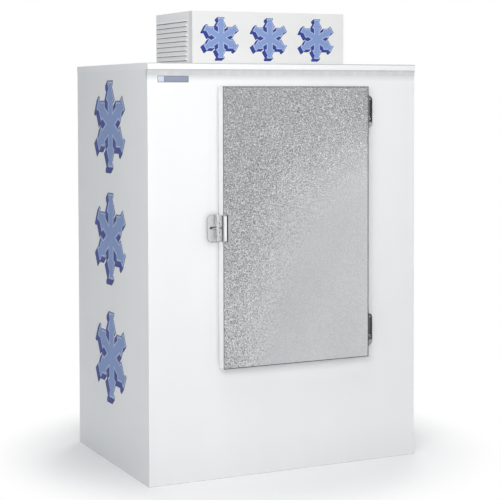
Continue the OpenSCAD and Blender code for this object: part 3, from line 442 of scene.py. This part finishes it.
foam, tree, shader, where = new_material("rigid_foam")
cells = node(tree, "TexVoronoi", {"Vector": where, "Scale": 420}, feature="DISTANCE_TO_EDGE")
blotch = spread(tree, noise(tree, where, 22, 4), 0.86, 1.04)
tree.links.new(tinted(tree, (0.83, 0.71, 0.42), blotch), shader.inputs["Base Color"])
shader.inputs["Roughness"].default_value = 0.85
raised(tree, shader, cells.outputs[0], 0.0012)
foam_nodes = [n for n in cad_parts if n.endswith("_insulation")]
finish_nodes(foam, *foam_nodes, "door_foam")


# ---------- Evaporator ----------
# A mill-finish aluminium case hung from the ceiling, with its finned coil, heater, fan and guard.
# The coil's fins are thin rolled aluminium over copper tubes, and the motor is a painted can.


def brushed(name, colour, along, rough, painted_shade=None):
    """Sheet metal with rolling marks along one axis, with painted shade where the given function
    gives a factor below 1.
    """
    material, tree, shader, where = new_material(name)
    stretch = [0.06 if axis == along else 1 for axis in "XYZ"]
    marks = noise(tree, where, 420, 3, stretch)
    cloud = noise(tree, where, 5, 3)
    tone = product(tree, spread(tree, marks, 0.9, 1.06), spread(tree, cloud, 0.94, 1.04))
    if painted_shade:
        tone = product(tree, tone, painted_shade(tree, where))
    tree.links.new(tinted(tree, colour, tone), shader.inputs["Base Color"])
    tree.links.new(spread(tree, marks, rough - 0.06, rough + 0.1), shader.inputs["Roughness"])
    raised(tree, shader, marks, 0.00003)
    shader.inputs["Metallic"].default_value = 1.0
    return material


mill_aluminium = brushed("mill_aluminium", (0.72, 0.73, 0.74), "X", rough=0.36)
finish_nodes(mill_aluminium, "evaporator_housing", "evaporator_drain_pan")
fin_aluminium = brushed("fin_aluminium", (0.66, 0.67, 0.68), "Z", rough=0.4)
finish_nodes(fin_aluminium, "evaporator_coil", "condenser_coil")
black_enamel = enamel("black_enamel", (0.022, 0.022, 0.024), peel_depth=0.0001)
finish_nodes(black_enamel, "evaporator_fan_motor", "condenser_fan_motor", "fan_shroud")
finish_nodes(black_enamel, "compressor", "liquid_receiver", "defrost_heater")
black_plastic = plastic("black_plastic", (0.03, 0.03, 0.032), rough=0.45, grain=500, depth=0.00005)
finish_nodes(black_plastic, "evaporator_fan", "condenser_fan", "thermostat_knob", "cord_gland")


def plating(name, colour, rough, haze, painted_glint=None):
    """Plated or polished metal with a haze and fine scratches, with painted highlight where the
    given function brightens it.
    """
    material, tree, shader, where = new_material(name)
    fog = noise(tree, where, 30, 4)
    scratch = noise(tree, where, 900, 2, (0.15, 1, 1))
    tone = spread(tree, fog, 1 - haze, 1 + haze)
    if painted_glint:
        tone = product(tree, tone, painted_glint(tree, where))
    tree.links.new(tinted(tree, colour, tone), shader.inputs["Base Color"])
    tree.links.new(spread(tree, fog, rough, rough + 0.12), shader.inputs["Roughness"])
    raised(tree, shader, scratch, 0.000015)
    shader.inputs["Metallic"].default_value = 1.0
    return material


bright_wire = plating("bright_wire", (0.62, 0.63, 0.65), rough=0.18, haze=0.06)
finish_nodes(bright_wire, "evaporator_fan_guard")


# ---------- Condensing unit ----------
# The compressor and its mounts, the receiver and the drawn copper lines with brazed sockets.
# Copper is dulled by handling, and goes brown in random stains.

copper, tree, shader, where = new_material("drawn_copper")
stain = noise(tree, where, 26, 4)
tones = {0: spread(tree, stain, 0, 1), 6: (0.62, 0.27, 0.15, 1), 7: (0.34, 0.14, 0.08, 1)}
tree.links.new(node(tree, "Mix", tones, data_type="RGBA").outputs[2], shader.inputs["Base Color"])
tree.links.new(spread(tree, stain, 0.24, 0.5), shader.inputs["Roughness"])
raised(tree, shader, noise(tree, where, 300, 3), 0.00004)
shader.inputs["Metallic"].default_value = 1.0
finish_nodes(copper, "discharge_line", "suction_line", "liquid_line", "filter_drier")

black_rubber = rubber("black_rubber", (0.02, 0.02, 0.021))
finish_nodes(black_rubber, "compressor_mounts", "control_wiring")


# ---------- Fins of the coils ----------
# Thin wavy aluminium fins, pressed over the tubes of both coils a few millimetres apart.
# One fin is set in a row by its count and step, each a hair out of true as in a real coil.


def copying_tree(name, own_inputs):
    """A tree that sets one model on many points, makes them one mesh and gives it a finish."""
    tree = bpy.data.node_groups.new(name, "GeometryNodeTree")
    kinds = {"Geometry": "Geometry", "Model": "Object", **own_inputs, "Finish": "Material"}
    sockets = {
        label: tree.interface.new_socket(label, in_out="INPUT", socket_type="NodeSocket" + kind)
        for label, kind in kinds.items()
    }
    tree.interface.new_socket("Geometry", in_out="OUTPUT", socket_type="NodeSocketGeometry")
    given = tree.nodes.new("NodeGroupInput").outputs
    picked = tree.nodes.new("GeometryNodeObjectInfo")
    copies = tree.nodes.new("GeometryNodeInstanceOnPoints")
    whole = tree.nodes.new("GeometryNodeRealizeInstances")
    finished = tree.nodes.new("GeometryNodeSetMaterial")
    tree.links.new(given["Model"], picked.inputs["Object"])
    tree.links.new(picked.outputs["Geometry"], copies.inputs["Instance"])
    tree.links.new(copies.outputs[0], whole.inputs[0])
    tree.links.new(whole.outputs[0], finished.inputs["Geometry"])
    tree.links.new(given["Finish"], finished.inputs["Material"])
    tree.links.new(finished.outputs[0], tree.nodes.new("NodeGroupOutput").inputs["Geometry"])
    return tree, sockets, given, copies


def keep_result(made):
    """Turns what an object's modifiers give into its plain mesh."""
    evaluated = made.evaluated_get(bpy.context.evaluated_depsgraph_get())
    made.data = bpy.data.meshes.new_from_object(evaluated)
    made.modifiers.clear()


def copied(name, mesh, tree, sockets, values):
    """An object whose mesh a tree has copied out, with values for the tree's named inputs."""
    made = bpy.data.objects.new(name, mesh)
    bpy.context.scene.collection.objects.link(made)
    modifier = made.modifiers.new(name, "NODES")
    modifier.node_group = tree
    for socket, value in values.items():
        modifier[sockets[socket].identifier] = value
    keep_result(made)
    return made


fin_inputs = {"Count": "Int", "Start": "Vector", "Step": "Vector"}
pack, pack_sockets, given, stacked = copying_tree("fin_pack", fin_inputs)
row = pack.nodes.new("GeometryNodeMeshLine")
untrue = pack.nodes.new("FunctionNodeRandomValue")
untrue.data_type = "FLOAT_VECTOR"
untrue.inputs["Seed"].default_value = 3
lean = 0.003  # radians
untrue.inputs[0].default_value = (-lean,) * 3
untrue.inputs[1].default_value = (lean,) * 3
pack.links.new(given["Count"], row.inputs["Count"])
pack.links.new(given["Start"], row.inputs["Start Location"])
pack.links.new(given["Step"], row.inputs["Offset"])
pack.links.new(row.outputs[0], stacked.inputs["Points"])
pack.links.new(untrue.outputs[0], stacked.inputs["Rotation"])


def fin_pack(name, low, high, along, step):
    """Thin wavy fins between two corners, in a row along X or Y, just inside the solid fins."""
    sheet = 0.00015
    wave = 0.0004
    bends = 12
    inside = 0.0004
    centre, size = (low + high) / 2, high - low
    length, width = (size.x, size.y - inside) if along == "X" else (size.y, size.x - inside)
    half_h = (size.z - inside) / 2
    points = []
    for k in range(bends + 1):
        across = (k / bends - 0.5) * width
        shift = wave if k % 2 else -wave
        for side, up in ((-1, -1), (-1, 1), (1, 1), (1, -1)):
            flat = (shift + side * sheet / 2, across)
            points.append((*(flat if along == "X" else flat[::-1]), up * half_h))
    faces = walls(bends + 1, 4) + ends(bends + 1, 4)
    fin = mesh_object(name + "_fin", points, faces, fin_aluminium, 5)
    direction = Vector((1, 0, 0) if along == "X" else (0, 1, 0))
    count = int(length / step) - 1
    values = {
        "Model": fin,
        "Count": count,
        "Start": centre - direction * step * (count - 1) / 2,
        "Step": direction * step,
        "Finish": fin_aluminium,
    }
    fins = copied(name, bpy.data.meshes.new(name), pack, pack_sockets, values)
    bpy.data.objects.remove(fin)
    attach(fins, "cabinet")


condenser_foot = 0.006
low, high = (Vector(corner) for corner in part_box("condenser_coil"))
shroud_low, shroud_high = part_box("fan_shroud")
low.y, high.y = shroud_low.y, shroud_high.y
low.z += condenser_foot
fin_pack("condenser_fins", low, high, "Y", step=0.003)

evaporator_foot = 0.025
bend_out = 0.0211  # how far the return bends stand out past the end plates
low, high = (Vector(corner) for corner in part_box("evaporator_coil"))
low.x += bend_out
high.x -= bend_out
low.z += evaporator_foot
fin_pack("evaporator_fins", low, high, "X", step=0.0045)


# ---------- Housing of the cooling unit ----------
# Louvred sheet steel in the cabinet's white, closed by a flat lid and a pan-shaped sign, with a
# painted shadow under each louvre.
# The sign's pan has a slightly warmer and smoother enamel, painted darker as painted shade.

housing_low, housing_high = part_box("housing_rear_panel")
lowest_mouth = housing_low.z + 0.017
mouth_step = 0.021
last_mouth = 8  # counted from 0 at the lowest
shadow_h = 0.0042  # how far the painted shadow reaches below a louvre's mouth
full_shadow = 0.6  # the share of that reach where the painted shadow is at its darkest
side_louvre_ends = (-0.223, 0.123)
rear_louvre_ends = (-0.344, 0.229)


def louvre_shadow(along, low, high):
    """A function that paints a shadow on the sheet just below each louvre, between two ends along
    an axis.
    """

    def factor(tree, where):
        axes = node(tree, "SeparateXYZ", {0: where}).outputs
        row = maths(tree, "DIVIDE", maths(tree, "SUBTRACT", axes["Z"], lowest_mouth), mouth_step)
        share = shadow_h / mouth_step
        below_mouth = maths(tree, "FRACT", row)
        shadow_band = product(
            tree,
            spread(tree, below_mouth, 0, 1, start=1 - share, end=1 - full_shadow * share),
            spread(tree, noise(tree, where, 60, 3), 0.62, 0.82),
            maths(tree, "GREATER_THAN", row, -0.5),
            maths(tree, "LESS_THAN", row, last_mouth),
            maths(tree, "GREATER_THAN", axes[along], low),
            maths(tree, "LESS_THAN", axes[along], high),
        )
        return maths(tree, "SUBTRACT", 1.0, shadow_band)

    return factor


side_louvre_shadow = louvre_shadow("Y", *side_louvre_ends)
rear_louvre_shadow = louvre_shadow("X", *rear_louvre_ends)
# The side panels' enamel is painted lighter than the rear's, as painted light on the shaded sides.
side_louvres = enamel("side_louvre_enamel", (0.93, 0.93, 0.935), painted_shade=side_louvre_shadow)
rear_louvres = enamel("rear_louvre_enamel", (0.86, 0.865, 0.87), painted_shade=rear_louvre_shadow)
finish_nodes(side_louvres, "housing_left_panel", "housing_right_panel")
finish_nodes(rear_louvres, "housing_rear_panel")
finish_nodes(white_enamel, "housing_top_cover")
# The sign's enamel is painted darker than the cabinet's white, as painted shade against the
# stronger light on it.
sign_enamel = enamel("sign_enamel", (0.79, 0.79, 0.78), peel_depth=0.00003)
finish_nodes(sign_enamel, "sign_panel")


# ---------- Door ----------
# A foam-filled slab: embossed aluminium outside, white enamel trim round the edges and inside.
# The emboss is the random crinkle of stucco sheet, flatter to the lower right, with painted
# highlight, shade and reflection on it.

skin_low, skin_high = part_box("door_outer_skin")
skin_y = skin_low.y
stucco, tree, shader, where = new_material("stucco_aluminium")
wander = node(tree, "TexNoise", {"Vector": where, "Scale": 60, "Detail": 1}).outputs["Color"]
bend = {0: wander, 1: (0.012,) * 3, 2: where}
crooked = node(tree, "VectorMath", bend, operation="MULTIPLY_ADD").outputs[0]
pebbles = {"Vector": crooked, "Scale": 170, "Smoothness": 0.35}
pebble = node(tree, "TexVoronoi", pebbles, feature="SMOOTH_F1").outputs[0]
worm = noise(tree, crooked, 175, 2)
ridge = maths(tree, "ABSOLUTE", maths(tree, "SUBTRACT", worm, 0.5))
ridges = spread(tree, ridge, 0, 0.7, start=0.0, end=0.16)
crinkle = maths(tree, "ADD", ridges, product(tree, pebble, 0.4))

axes = node(tree, "SeparateXYZ", {0: where}).outputs
from_left = spread(tree, axes["X"], 0.0, 1.0, start=skin_low.x, end=skin_high.x)
from_top = spread(tree, axes["Z"], 1.0, 0.0, start=skin_low.z, end=skin_high.z)
toward_lower_right = product(tree, from_left, from_top)
sharp = spread(tree, toward_lower_right, 1.28, 0.2, start=0.09, end=0.33)
relief_and_painted_shade = product(tree, sharp, spread(tree, axes["Z"], 1.12, 0.9, start=1.2, end=1.5))
# Painted highlight and shade: the crinkle's ridges are painted lighter and its hollows darker,
# most at the upper left.
lights = spread(tree, crinkle, -0.6, 0.45, start=0.05, end=0.75)
# Painted reflection: the skin is painted darker towards the top and the left, and brighter to the
# lower right.
tone = product(
    tree,
    maths(tree, "MULTIPLY_ADD", lights, relief_and_painted_shade, 1.0),
    spread(tree, noise(tree, where, 3.5, 3), 0.96, 1.04),
    spread(tree, axes["Z"], 1.05, 0.76, start=0.6, end=1.6),
    spread(tree, axes["X"], 0.87, 0.96, start=-0.3, end=0.15),
    spread(tree, toward_lower_right, 0.95, 1.08, start=0.1, end=0.32),
)
tree.links.new(tinted(tree, (0.475, 0.486, 0.496), tone), shader.inputs["Base Color"])
tree.links.new(spread(tree, worm, 0.3, 0.42), shader.inputs["Roughness"])
raised(tree, shader, product(tree, crinkle, relief_and_painted_shade), 0.0014)
shader.inputs["Metallic"].default_value = 1.0
finish_nodes(stucco, "door_outer_skin")
# The trim's and inner panel's enamel is painted lighter than the cabinet's white, as painted light
# on the door's edge.
finish_nodes(enamel("trim_enamel", (0.92, 0.92, 0.925)), "door_edge_trim", "door_inner_panel")

# Painted shade: dark beads line the skin's edges where the door's edges fall into shade; the left
# one is paler, as painted light.
edging = rubber("edging", (0.11, 0.115, 0.12))
left_edging = rubber("left_edging", (0.2, 0.205, 0.21))
bead_w, bead_out, bead_r = 0.0034, 0.0007, 0.0003
for name, low, high in (
    ("left", (skin_low.x, skin_low.z), (skin_low.x + bead_w, skin_high.z)),
    ("right", (skin_high.x - bead_w, skin_low.z), (skin_high.x, skin_high.z)),
    ("top", (skin_low.x, skin_high.z - bead_w), (skin_high.x, skin_high.z)),
    ("foot", (skin_low.x, skin_low.z), (skin_high.x, skin_low.z + bead_w)),
):
    low, high = (low[0], skin_y - bead_out, low[1]), (high[0], skin_y, high[1])
    bead_rubber = left_edging if name == "left" else edging
    bead = rounded_bar("skin_bead_" + name, low, high, bead_r, bead_rubber)
    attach(bead, "door")


# ---------- Door gasket ----------
# An extruded magnetic gasket: a base, a thin-walled bellows that shuts the gap, and the
# magnet's pocket that meets the front panel. The four lengths are welded at mitred corners.

profile = [
    (0.0, 0.0), (18.0, 0.0), (18.0, 1.4), (16.2, 1.9), (14.6, 2.9), (14.1, 4.0),
    (14.9, 5.1), (16.0, 5.9), (16.9, 6.6), (17.4, 7.6), (17.4, 9.6), (16.9, 10.4),
    (16.0, 10.7), (4.6, 10.7), (3.8, 10.3), (3.4, 9.5), (3.4, 7.6), (3.9, 6.7),
    (4.9, 5.9), (5.6, 5.1), (4.9, 4.0), (3.4, 2.9), (1.8, 1.9), (0.0, 1.4),
]  # across the gasket from its outer edge, and out from the door, in millimetres
gasket_low, gasket_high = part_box("door_gasket")
corners = [(0, 0), (1, 0), (1, 1), (0, 1)]
points = []
for right, top in corners:
    for across, out in profile:
        inset = across / 1000
        x = gasket_high.x - inset if right else gasket_low.x + inset
        z = gasket_high.z - inset if top else gasket_low.z + inset
        points.append((x, gasket_low.y + out / 1000, z))
faces = walls(len(corners), len(profile), closed=True)
grey_vinyl = rubber("grey_vinyl", (0.17, 0.175, 0.18))
gasket = mesh_object("magnetic_gasket", points, faces, grey_vinyl, 50)
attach(gasket, "door")
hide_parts("door_gasket")


# ---------- Hinges, handle and staple ----------
# The hinges are castings in dark chrome, with painted highlight beside the door and at their foot.
# The handle and the staple are bent from bright zinc-plated plate and riveted on, with painted
# shade where the handle stands out. The handle has rubber edging, a bush in its slot, and a cover
# and two strips on its leg; the edging, the bush and both strips are dark pieces put as painted
# shade.


def hinge_glint(leaf, inner, foot):
    """A function that paints highlight on a hinge leaf beside the door's edge and over its lowest
    inch.
    """
    low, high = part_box(leaf)

    def factor(tree, where):
        axes = node(tree, "SeparateXYZ", {0: where}).outputs
        beside_door = spread(tree, axes["X"], inner, 1.0, start=low.x + 0.013, end=low.x + 0.019)
        at_foot = spread(tree, axes["Z"], foot, 1.0, start=low.z + 0.02, end=low.z + 0.027)
        return maths(tree, "MAXIMUM", beside_door, at_foot)

    return factor


chrome = (0.027, 0.0295, 0.0295)
upper_glint = hinge_glint("upper_hinge_jamb_leaf", 6.0, 8.0)
lower_glint = hinge_glint("lower_hinge_jamb_leaf", 1.8, 4.0)
dark_chrome = plating("dark_chrome", chrome, rough=0.22, haze=0.12)
upper_chrome = plating("upper_chrome", chrome, rough=0.22, haze=0.12, painted_glint=upper_glint)
# The lower hinge's chrome is painted paler, as painted reflection.
lit_chrome = (0.061, 0.0655, 0.0655)
lower_chrome = plating("lower_chrome", lit_chrome, rough=0.24, haze=0.12, painted_glint=lower_glint)
finish_nodes(upper_chrome, "upper_hinge_jamb_leaf", "upper_hinge_door_leaf")
finish_nodes(lower_chrome, "lower_hinge_jamb_leaf", "lower_hinge_door_leaf")
finish_nodes(dark_chrome, "upper_hinge_pin", "lower_hinge_pin")


def handle_leg_shade(tree, where):
    """Paints shade on the handle where it stands out from the door's edge."""
    out = node(tree, "SeparateXYZ", {0: where}).outputs["Y"]
    return spread(tree, out, 0.64, 1.0, start=-0.507, end=-0.472)


bright_plate = brushed("bright_plate", (0.65, 0.66, 0.665), "Z", rough=0.26, painted_shade=handle_leg_shade)
finish_nodes(bright_plate, "door_handle", "lock_staple")


handle_low, handle_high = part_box("door_handle")
staple_low, staple_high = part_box("lock_staple")
staple_x = (staple_low.x + staple_high.x) / 2
middle_z = (handle_low.z + handle_high.z) / 2
plate_t = 0.0025
tongue_r = 0.018
leg_in = 0.0515  # how far the handle's leg is from its free end
leg_x = handle_low.x + leg_in


def plate_trim(name, material, edge, inner, outer, proud, closed=False):
    """A channel over the handle plate, from inside its edge to outside, with cut ends or none."""
    front, back = handle_high.y - plate_t - proud, handle_high.y + proud
    points = []
    for a, b in zip(edge(inner), edge(outer)):
        points += [(x, y, z) for (x, z), y in ((a, front), (b, front), (b, back), (a, back))]
    count = len(points) // 4
    faces = walls(count, 4, closed) + ([] if closed else ends(count, 4))
    made = mesh_object(name, points, faces, material)
    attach(made, "door")


def arc(centre, radius, start, end, steps=8):
    """Points of an arc in (x, z), with its angles in degrees."""
    turns = [math.radians(start + (end - start) * k / steps) for k in range(steps + 1)]
    return [(centre[0] + radius * math.cos(a), centre[1] + radius * math.sin(a)) for a in turns]


def tongue_edge(out):
    """The tongue's free outline, moved outwards."""
    leg_gap = 0.006
    end_x, centre_x, radius = leg_x - leg_gap, handle_low.x + tongue_r, tongue_r + out
    upper = arc((centre_x, handle_high.z - tongue_r), radius, 90, 180)
    lower = arc((centre_x, handle_low.z + tongue_r), radius, 180, 270)
    return [(end_x, handle_high.z + out)] + upper + lower + [(end_x, handle_low.z - out)]


def slot_edge(out):
    """The slot's outline, moved outwards."""
    half_flat, slot_r = 0.0105, 0.003
    right = arc((staple_x + half_flat, middle_z), slot_r + out, -90, 90)
    return right + arc((staple_x - half_flat, middle_z), slot_r + out, 90, 270)


# Painted shade: the tongue's edging stands for the shade round its rim, the black bush for the
# shade in its slot, and the stop and grip for shade lines on the leg.
pale_edging = rubber("pale_edging", (0.4, 0.405, 0.41))
black_edging = rubber("black_edging", (0.014, 0.015, 0.016))
plate_trim("tongue_edging", pale_edging, tongue_edge, inner=-0.0013, outer=0.0006, proud=0.0005)
bush = {"inner": -0.0012, "outer": 0.0017, "proud": 0.0007}
plate_trim("slot_bush", black_edging, slot_edge, **bush, closed=True)
for name, (left, right), (front, back), short, material, slot in (
    ("handle_cover", (0.0022, 0.0142), (-0.0012, 0.0001), 0.005, white_plastic, "white_plastic"),
    ("handle_stop", (0.0145, 0.0202), (-0.001, 0.006), 0.001, black_edging, "black_rubber"),
    ("handle_grip", (-0.0007, 0.0001), (0.008, 0.0175), 0.004, edging, "black_rubber"),
):  # across from the leg, back from the handle's front, and shorter than it at both ends
    low = (leg_x + left, handle_low.y + front, handle_low.z + short)
    high = (leg_x + right, handle_low.y + back, handle_high.z - short)
    trim = rounded_bar(name, low, high, 0.0003, material)
    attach(trim, "door")


# ---------- Screws and rivets ----------
# Small fasteners: pan heads with a cross recess on the hinges, button rivets on the handle,
# and hexagon washer heads on the sheets. One head is set on every spot of a row.


def lathe(rings, sides):
    """Points and faces of a closed head turned about +Z from (radius, height) rings."""
    turns = [2 * math.pi * k / sides for k in range(sides)]
    points = [(r * math.cos(a), r * math.sin(a), h) for r, h in rings for a in turns]
    return points, walls(len(rings), sides) + ends(len(rings), sides)


def dome(radius, height, steps=5):
    """Rings of a low dome over a straight foot."""
    foot = height * 0.25
    rings = [(radius, 0), (radius, foot)]
    for i in range(1, steps):
        a = math.pi / 2 * i / steps
        rings.append((radius * math.cos(a), foot + (height - foot) * math.sin(a)))
    return rings


def cross_recessed(name, radius, height, material):
    """A pan head whose cross recess is cut out of its dome."""
    head = mesh_object(name, *lathe(dome(radius, height), 20), material)
    arm, wide, deep = radius * 0.55, radius * 0.16, height * 0.55
    arms = 4
    points = []
    for z in (height - deep, height + deep):
        for k in range(arms):
            turn = Matrix.Rotation(k * 2 * math.pi / arms, 3, "Z")
            outline = (arm, -wide, z), (arm, wide, z), (wide, wide, z)
            points += [turn @ Vector(point) for point in outline]
    corners = 3 * arms
    cutter = mesh_object(name + "_cutter", points, walls(2, corners) + ends(2, corners), material)
    cut = head.modifiers.new("recess", "BOOLEAN")
    cut.object, cut.operation, cut.solver = cutter, "DIFFERENCE", "EXACT"
    keep_result(head)
    bpy.data.objects.remove(cutter)
    return head


def hexagon_head(name, size, material):
    """A hexagon on a round washer, with chamfered corners."""
    washer = ((0.8, 0), (0.8, 0.12), (0.74, 0.18), (0.4, 0.18))  # rings as shares of the size
    hexagon = ((0.56, 0.17), (0.56, 0.6), (0.48, 0.68), (0.2, 0.64))
    points, faces = [], []
    for rings, sides in ((washer, 24), (hexagon, 6)):
        more_points, more_faces = lathe([(size * r, size * h) for r, h in rings], sides)
        faces += [tuple(len(points) + i for i in face) for face in more_faces]
        points += more_points
    return mesh_object(name, points, faces, material, 30)


setting, setting_sockets, given, heads = copying_tree("row_of_heads", {"Facing": "Vector"})
aimed = setting.nodes.new("FunctionNodeAlignRotationToVector")
aimed.axis = "Z"
spun = setting.nodes.new("FunctionNodeRotateRotation")
spun.rotation_space = "LOCAL"
chance = setting.nodes.new("FunctionNodeRandomValue")
chance.data_type = "FLOAT"
chance.inputs["Seed"].default_value = 7
chance.inputs[3].default_value = 2 * math.pi
turn = setting.nodes.new("FunctionNodeAxisAngleToRotation")
setting.links.new(given["Facing"], aimed.inputs["Vector"])
setting.links.new(aimed.outputs[0], spun.inputs["Rotation"])
setting.links.new(chance.outputs[1], turn.inputs["Angle"])
setting.links.new(turn.outputs[0], spun.inputs["Rotate By"])
setting.links.new(spun.outputs[0], heads.inputs["Rotation"])
setting.links.new(given["Geometry"], heads.inputs["Points"])


def set_heads(name, head, spots, facing, body):
    """Sets a head on every spot, facing one way, and lets the row ride on a body."""
    mesh = bpy.data.meshes.new(name)
    mesh.from_pydata(spots, [], [])
    values = {"Model": head, "Facing": facing, "Finish": head.data.materials[0]}
    row = copied(name, mesh, setting, setting_sockets, values)
    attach(row, body)


screw_zinc = plating("screw_zinc", (0.55, 0.56, 0.58), rough=0.2, haze=0.1)
pan_head = cross_recessed("pan_head", 0.0048, 0.0026, screw_zinc)
rivet_head = mesh_object("rivet_head", *lathe(dome(0.0026, 0.0012), 16), dark_chrome)
hex_head = hexagon_head("hexagon_head", 0.007, screw_zinc)

leaf_t = 0.006
column_in = 0.014
for level in ("upper", "lower"):
    low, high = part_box(level + "_hinge_jamb_leaf")
    heights = [low.z + share * (high.z - low.z) for share in (0.13, 0.28, 0.9)]
    spots = [(high.x - column_in, high.y - leaf_t, z) for z in heights]
    set_heads(level + "_hinge_screws", pan_head, spots, (0, -1, 0), "cabinet")

near_out, far_out = 0.022, 0.036
rivet_step = 0.019
spots = [
    (leg_x, front_low.y - (near_out if k % 2 else far_out), middle_z + rivet_step * (2 - k))
    for k in range(5)
]
set_heads("handle_rivets", rivet_head, spots, (-1, 0, 0), "door")
staple_t = 0.002
spots = [(staple_x, front_low.y - staple_t, middle_z + z) for z in (-0.012, 0.012)]
set_heads("staple_rivets", rivet_head, spots, (0, -1, 0), "cabinet")

rear_low, rear_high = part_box("rear_panel")
rows, end_in, side_in = 9, 0.04, 0.008
spots = []
for k in range(rows):
    z = rear_low.z + end_in + k * (rear_high.z - rear_low.z - 2 * end_in) / (rows - 1)
    spots += [(rear_low.x + side_in, rear_high.y, z), (rear_high.x - side_in, rear_high.y, z)]
set_heads("rear_panel_screws", hex_head, spots, (0, 1, 0), "cabinet")

columns, end_in = 5, 0.012
foot_row, top_row = housing_low.z + 0.0095, housing_high.z - 0.0075
spots = []
for k in range(columns):
    x = housing_low.x + end_in + k * (housing_high.x - housing_low.x - 2 * end_in) / (columns - 1)
    spots += [(x, housing_back, foot_row), (x, housing_back, top_row)]
set_heads("housing_screws", hex_head, spots, (0, 1, 0), "cabinet")

case_low, case_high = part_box("evaporator_housing")
foot_row, top_row = case_low.z + 0.012, case_high.z - 0.012
spots = [(x, case_low.y, z) for x in (-0.296, -0.16, 0.16, 0.296) for z in (foot_row, top_row)]
set_heads("evaporator_screws", hex_head, spots, (0, -1, 0), "cabinet")


# ---------- Signs ----------
# Cut vinyl film on the sign panel and on the left side: a six-armed ice crystal, repeated.
# Each has a pale face with a thin white line in it, over a dark block that leans to lower left.

vinyl_colours = {
    "sign_pale": (0.235, 0.33, 0.6),
    "sign_white": (0.7, 0.74, 0.84),
    "sign_block": (0.04, 0.055, 0.29),
    "sign_outline": (0.015, 0.02, 0.08),
    "sign_border": (0.86, 0.865, 0.87),
}


def vinyl(name, colour):
    """Printed film with a slight sheen and faint mottling."""
    material, tree, shader, where = new_material(name)
    mottle = spread(tree, noise(tree, where, 8, 3), 0.96, 1.04)
    tree.links.new(tinted(tree, colour, mottle), shader.inputs["Base Color"])
    tree.links.new(spread(tree, noise(tree, where, 30, 3), 0.38, 0.48), shader.inputs["Roughness"])
    raised(tree, shader, noise(tree, where, 300, 2), 0.00002)
    shader.inputs["Specular IOR Level"].default_value = 0.12
    return material


films = {name: vinyl(name, colour) for name, colour in vinyl_colours.items()}


def crystal(reach, half, along, length):
    """Outline of a six-armed ice crystal: strokes 2 * half wide, a pair of twigs on each arm."""
    out, up = math.cos(math.pi / 6), math.sin(math.pi / 6)
    right = [
        (half, 2 * half * out),
        (half, along - half / (2 * out)),
        (half * up + length * out, along - half * out + length * up),
        (-half * up + length * out, along + half * out + length * up),
        (half, along + 2 * half * out),
        (half, reach),
    ]
    arm = right + [(-u, v) for u, v in reversed(right[1:])]
    turns = [k * math.pi / 3 for k in range(6)]
    return [
        (u * math.cos(a) - v * math.sin(a), u * math.sin(a) + v * math.cos(a))
        for a in turns
        for u, v in arm
    ]


def leaning_block(name, outline, foot, top, lean, to_space, film):
    """A thin slab whose walls lean: its outline at the top, and shifted by lean at the foot."""
    count = len(outline)
    points = [to_space(u + lean[0], v + lean[1], foot) for u, v in outline]
    points += [to_space(u, v, top) for u, v in outline]
    return mesh_object(name, points, walls(2, count) + ends(2, count), film, 5)


def sign_crystals(name, spots, reach, to_space):
    """A row of crystals as one piece of stacked film."""
    film_t = 0.00006
    lean, upright = (-reach * 0.15, -reach * 0.12), (0, 0)
    edge = reach * 0.02
    line = reach * 0.03
    layers = (
        (edge * 2, lean, "sign_border"),
        (edge * 0.7, lean, "sign_outline"),
        (0, lean, "sign_block"),
        (edge * 0.5, upright, "sign_outline"),
        (0, upright, "sign_pale"),
        (-line, upright, "sign_white"),
        (-line * 1.45, upright, "sign_pale"),
    )  # from the sheet outwards: how much larger, how its walls lean, and which film
    joined = bmesh.new()
    order = []
    for u, v in spots:
        for k, (extra, shift, film) in enumerate(layers):
            half, length = reach * 0.17 + extra, reach * 0.225 + extra
            arms = crystal(reach + extra, half, reach * 0.61, length)
            outline = [(u + a, v + b) for a, b in arms]
            foot, top = k * film_t, (k + 1) * film_t
            part = leaning_block(name + "_layer", outline, foot, top, shift, to_space, films[film])
            if films[film] not in order:
                order.append(films[film])
            start = len(joined.faces)
            joined.from_mesh(part.data)
            joined.faces.ensure_lookup_table()
            for face in joined.faces[start:]:
                face.material_index = order.index(films[film])
            bpy.data.objects.remove(part)
    made = shown(bpy.data.meshes.new(name), joined, order[0], 5)
    for film in order[1:]:
        made.data.materials.append(film)
    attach(made, "cabinet")


sign_z = (sign_low.z + sign_high.z) / 2
sign_spots = [(x, sign_z) for x in (-0.235, 0.0, 0.235)]
sign_crystals("sign_crystals", sign_spots, 0.088, lambda u, v, w: (u, sign_low.y - w, v))
side_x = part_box("left_side_panel")[0].x
side_spots = [(0.0, z) for z in (1.499, 1.005, 0.479)]
sign_crystals("side_crystals", side_spots, 0.19, lambda u, v, w: (side_x - w, -u, v))


# ---------- Bare plate ----------
# A small plate of printed film, stuck to the front panel at upper left.
# It has a blue-grey field and a paler block at its left end, in a darker border.

plate_left = front_low.x + 0.045
plate_foot = 1.679
plate_h = 0.027
border_t = 0.0008
for name, left, right, inset, colour in (
    ("plate_border", 0, 0.139, 0.0, (0.13, 0.14, 0.2)),
    ("plate_field", 0.03, 0.137, 0.002, (0.28, 0.31, 0.4)),
    ("plate_mark", 0.002, 0.0285, 0.002, (0.6, 0.64, 0.72)),
):
    low = (plate_left + left, front_low.y - border_t - inset / 10, plate_foot + inset)
    high = (plate_left + right, front_low.y, plate_foot + plate_h - inset)
    plate = rounded_bar(name, low, high, 0.0003, vinyl(name, colour))
    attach(plate, "cabinet")


# ---------- Finish ----------
# The loose heads, now set on all their spots, are put away.

for head in (pan_head, rivet_head, hex_head):
    bpy.data.objects.remove(head)
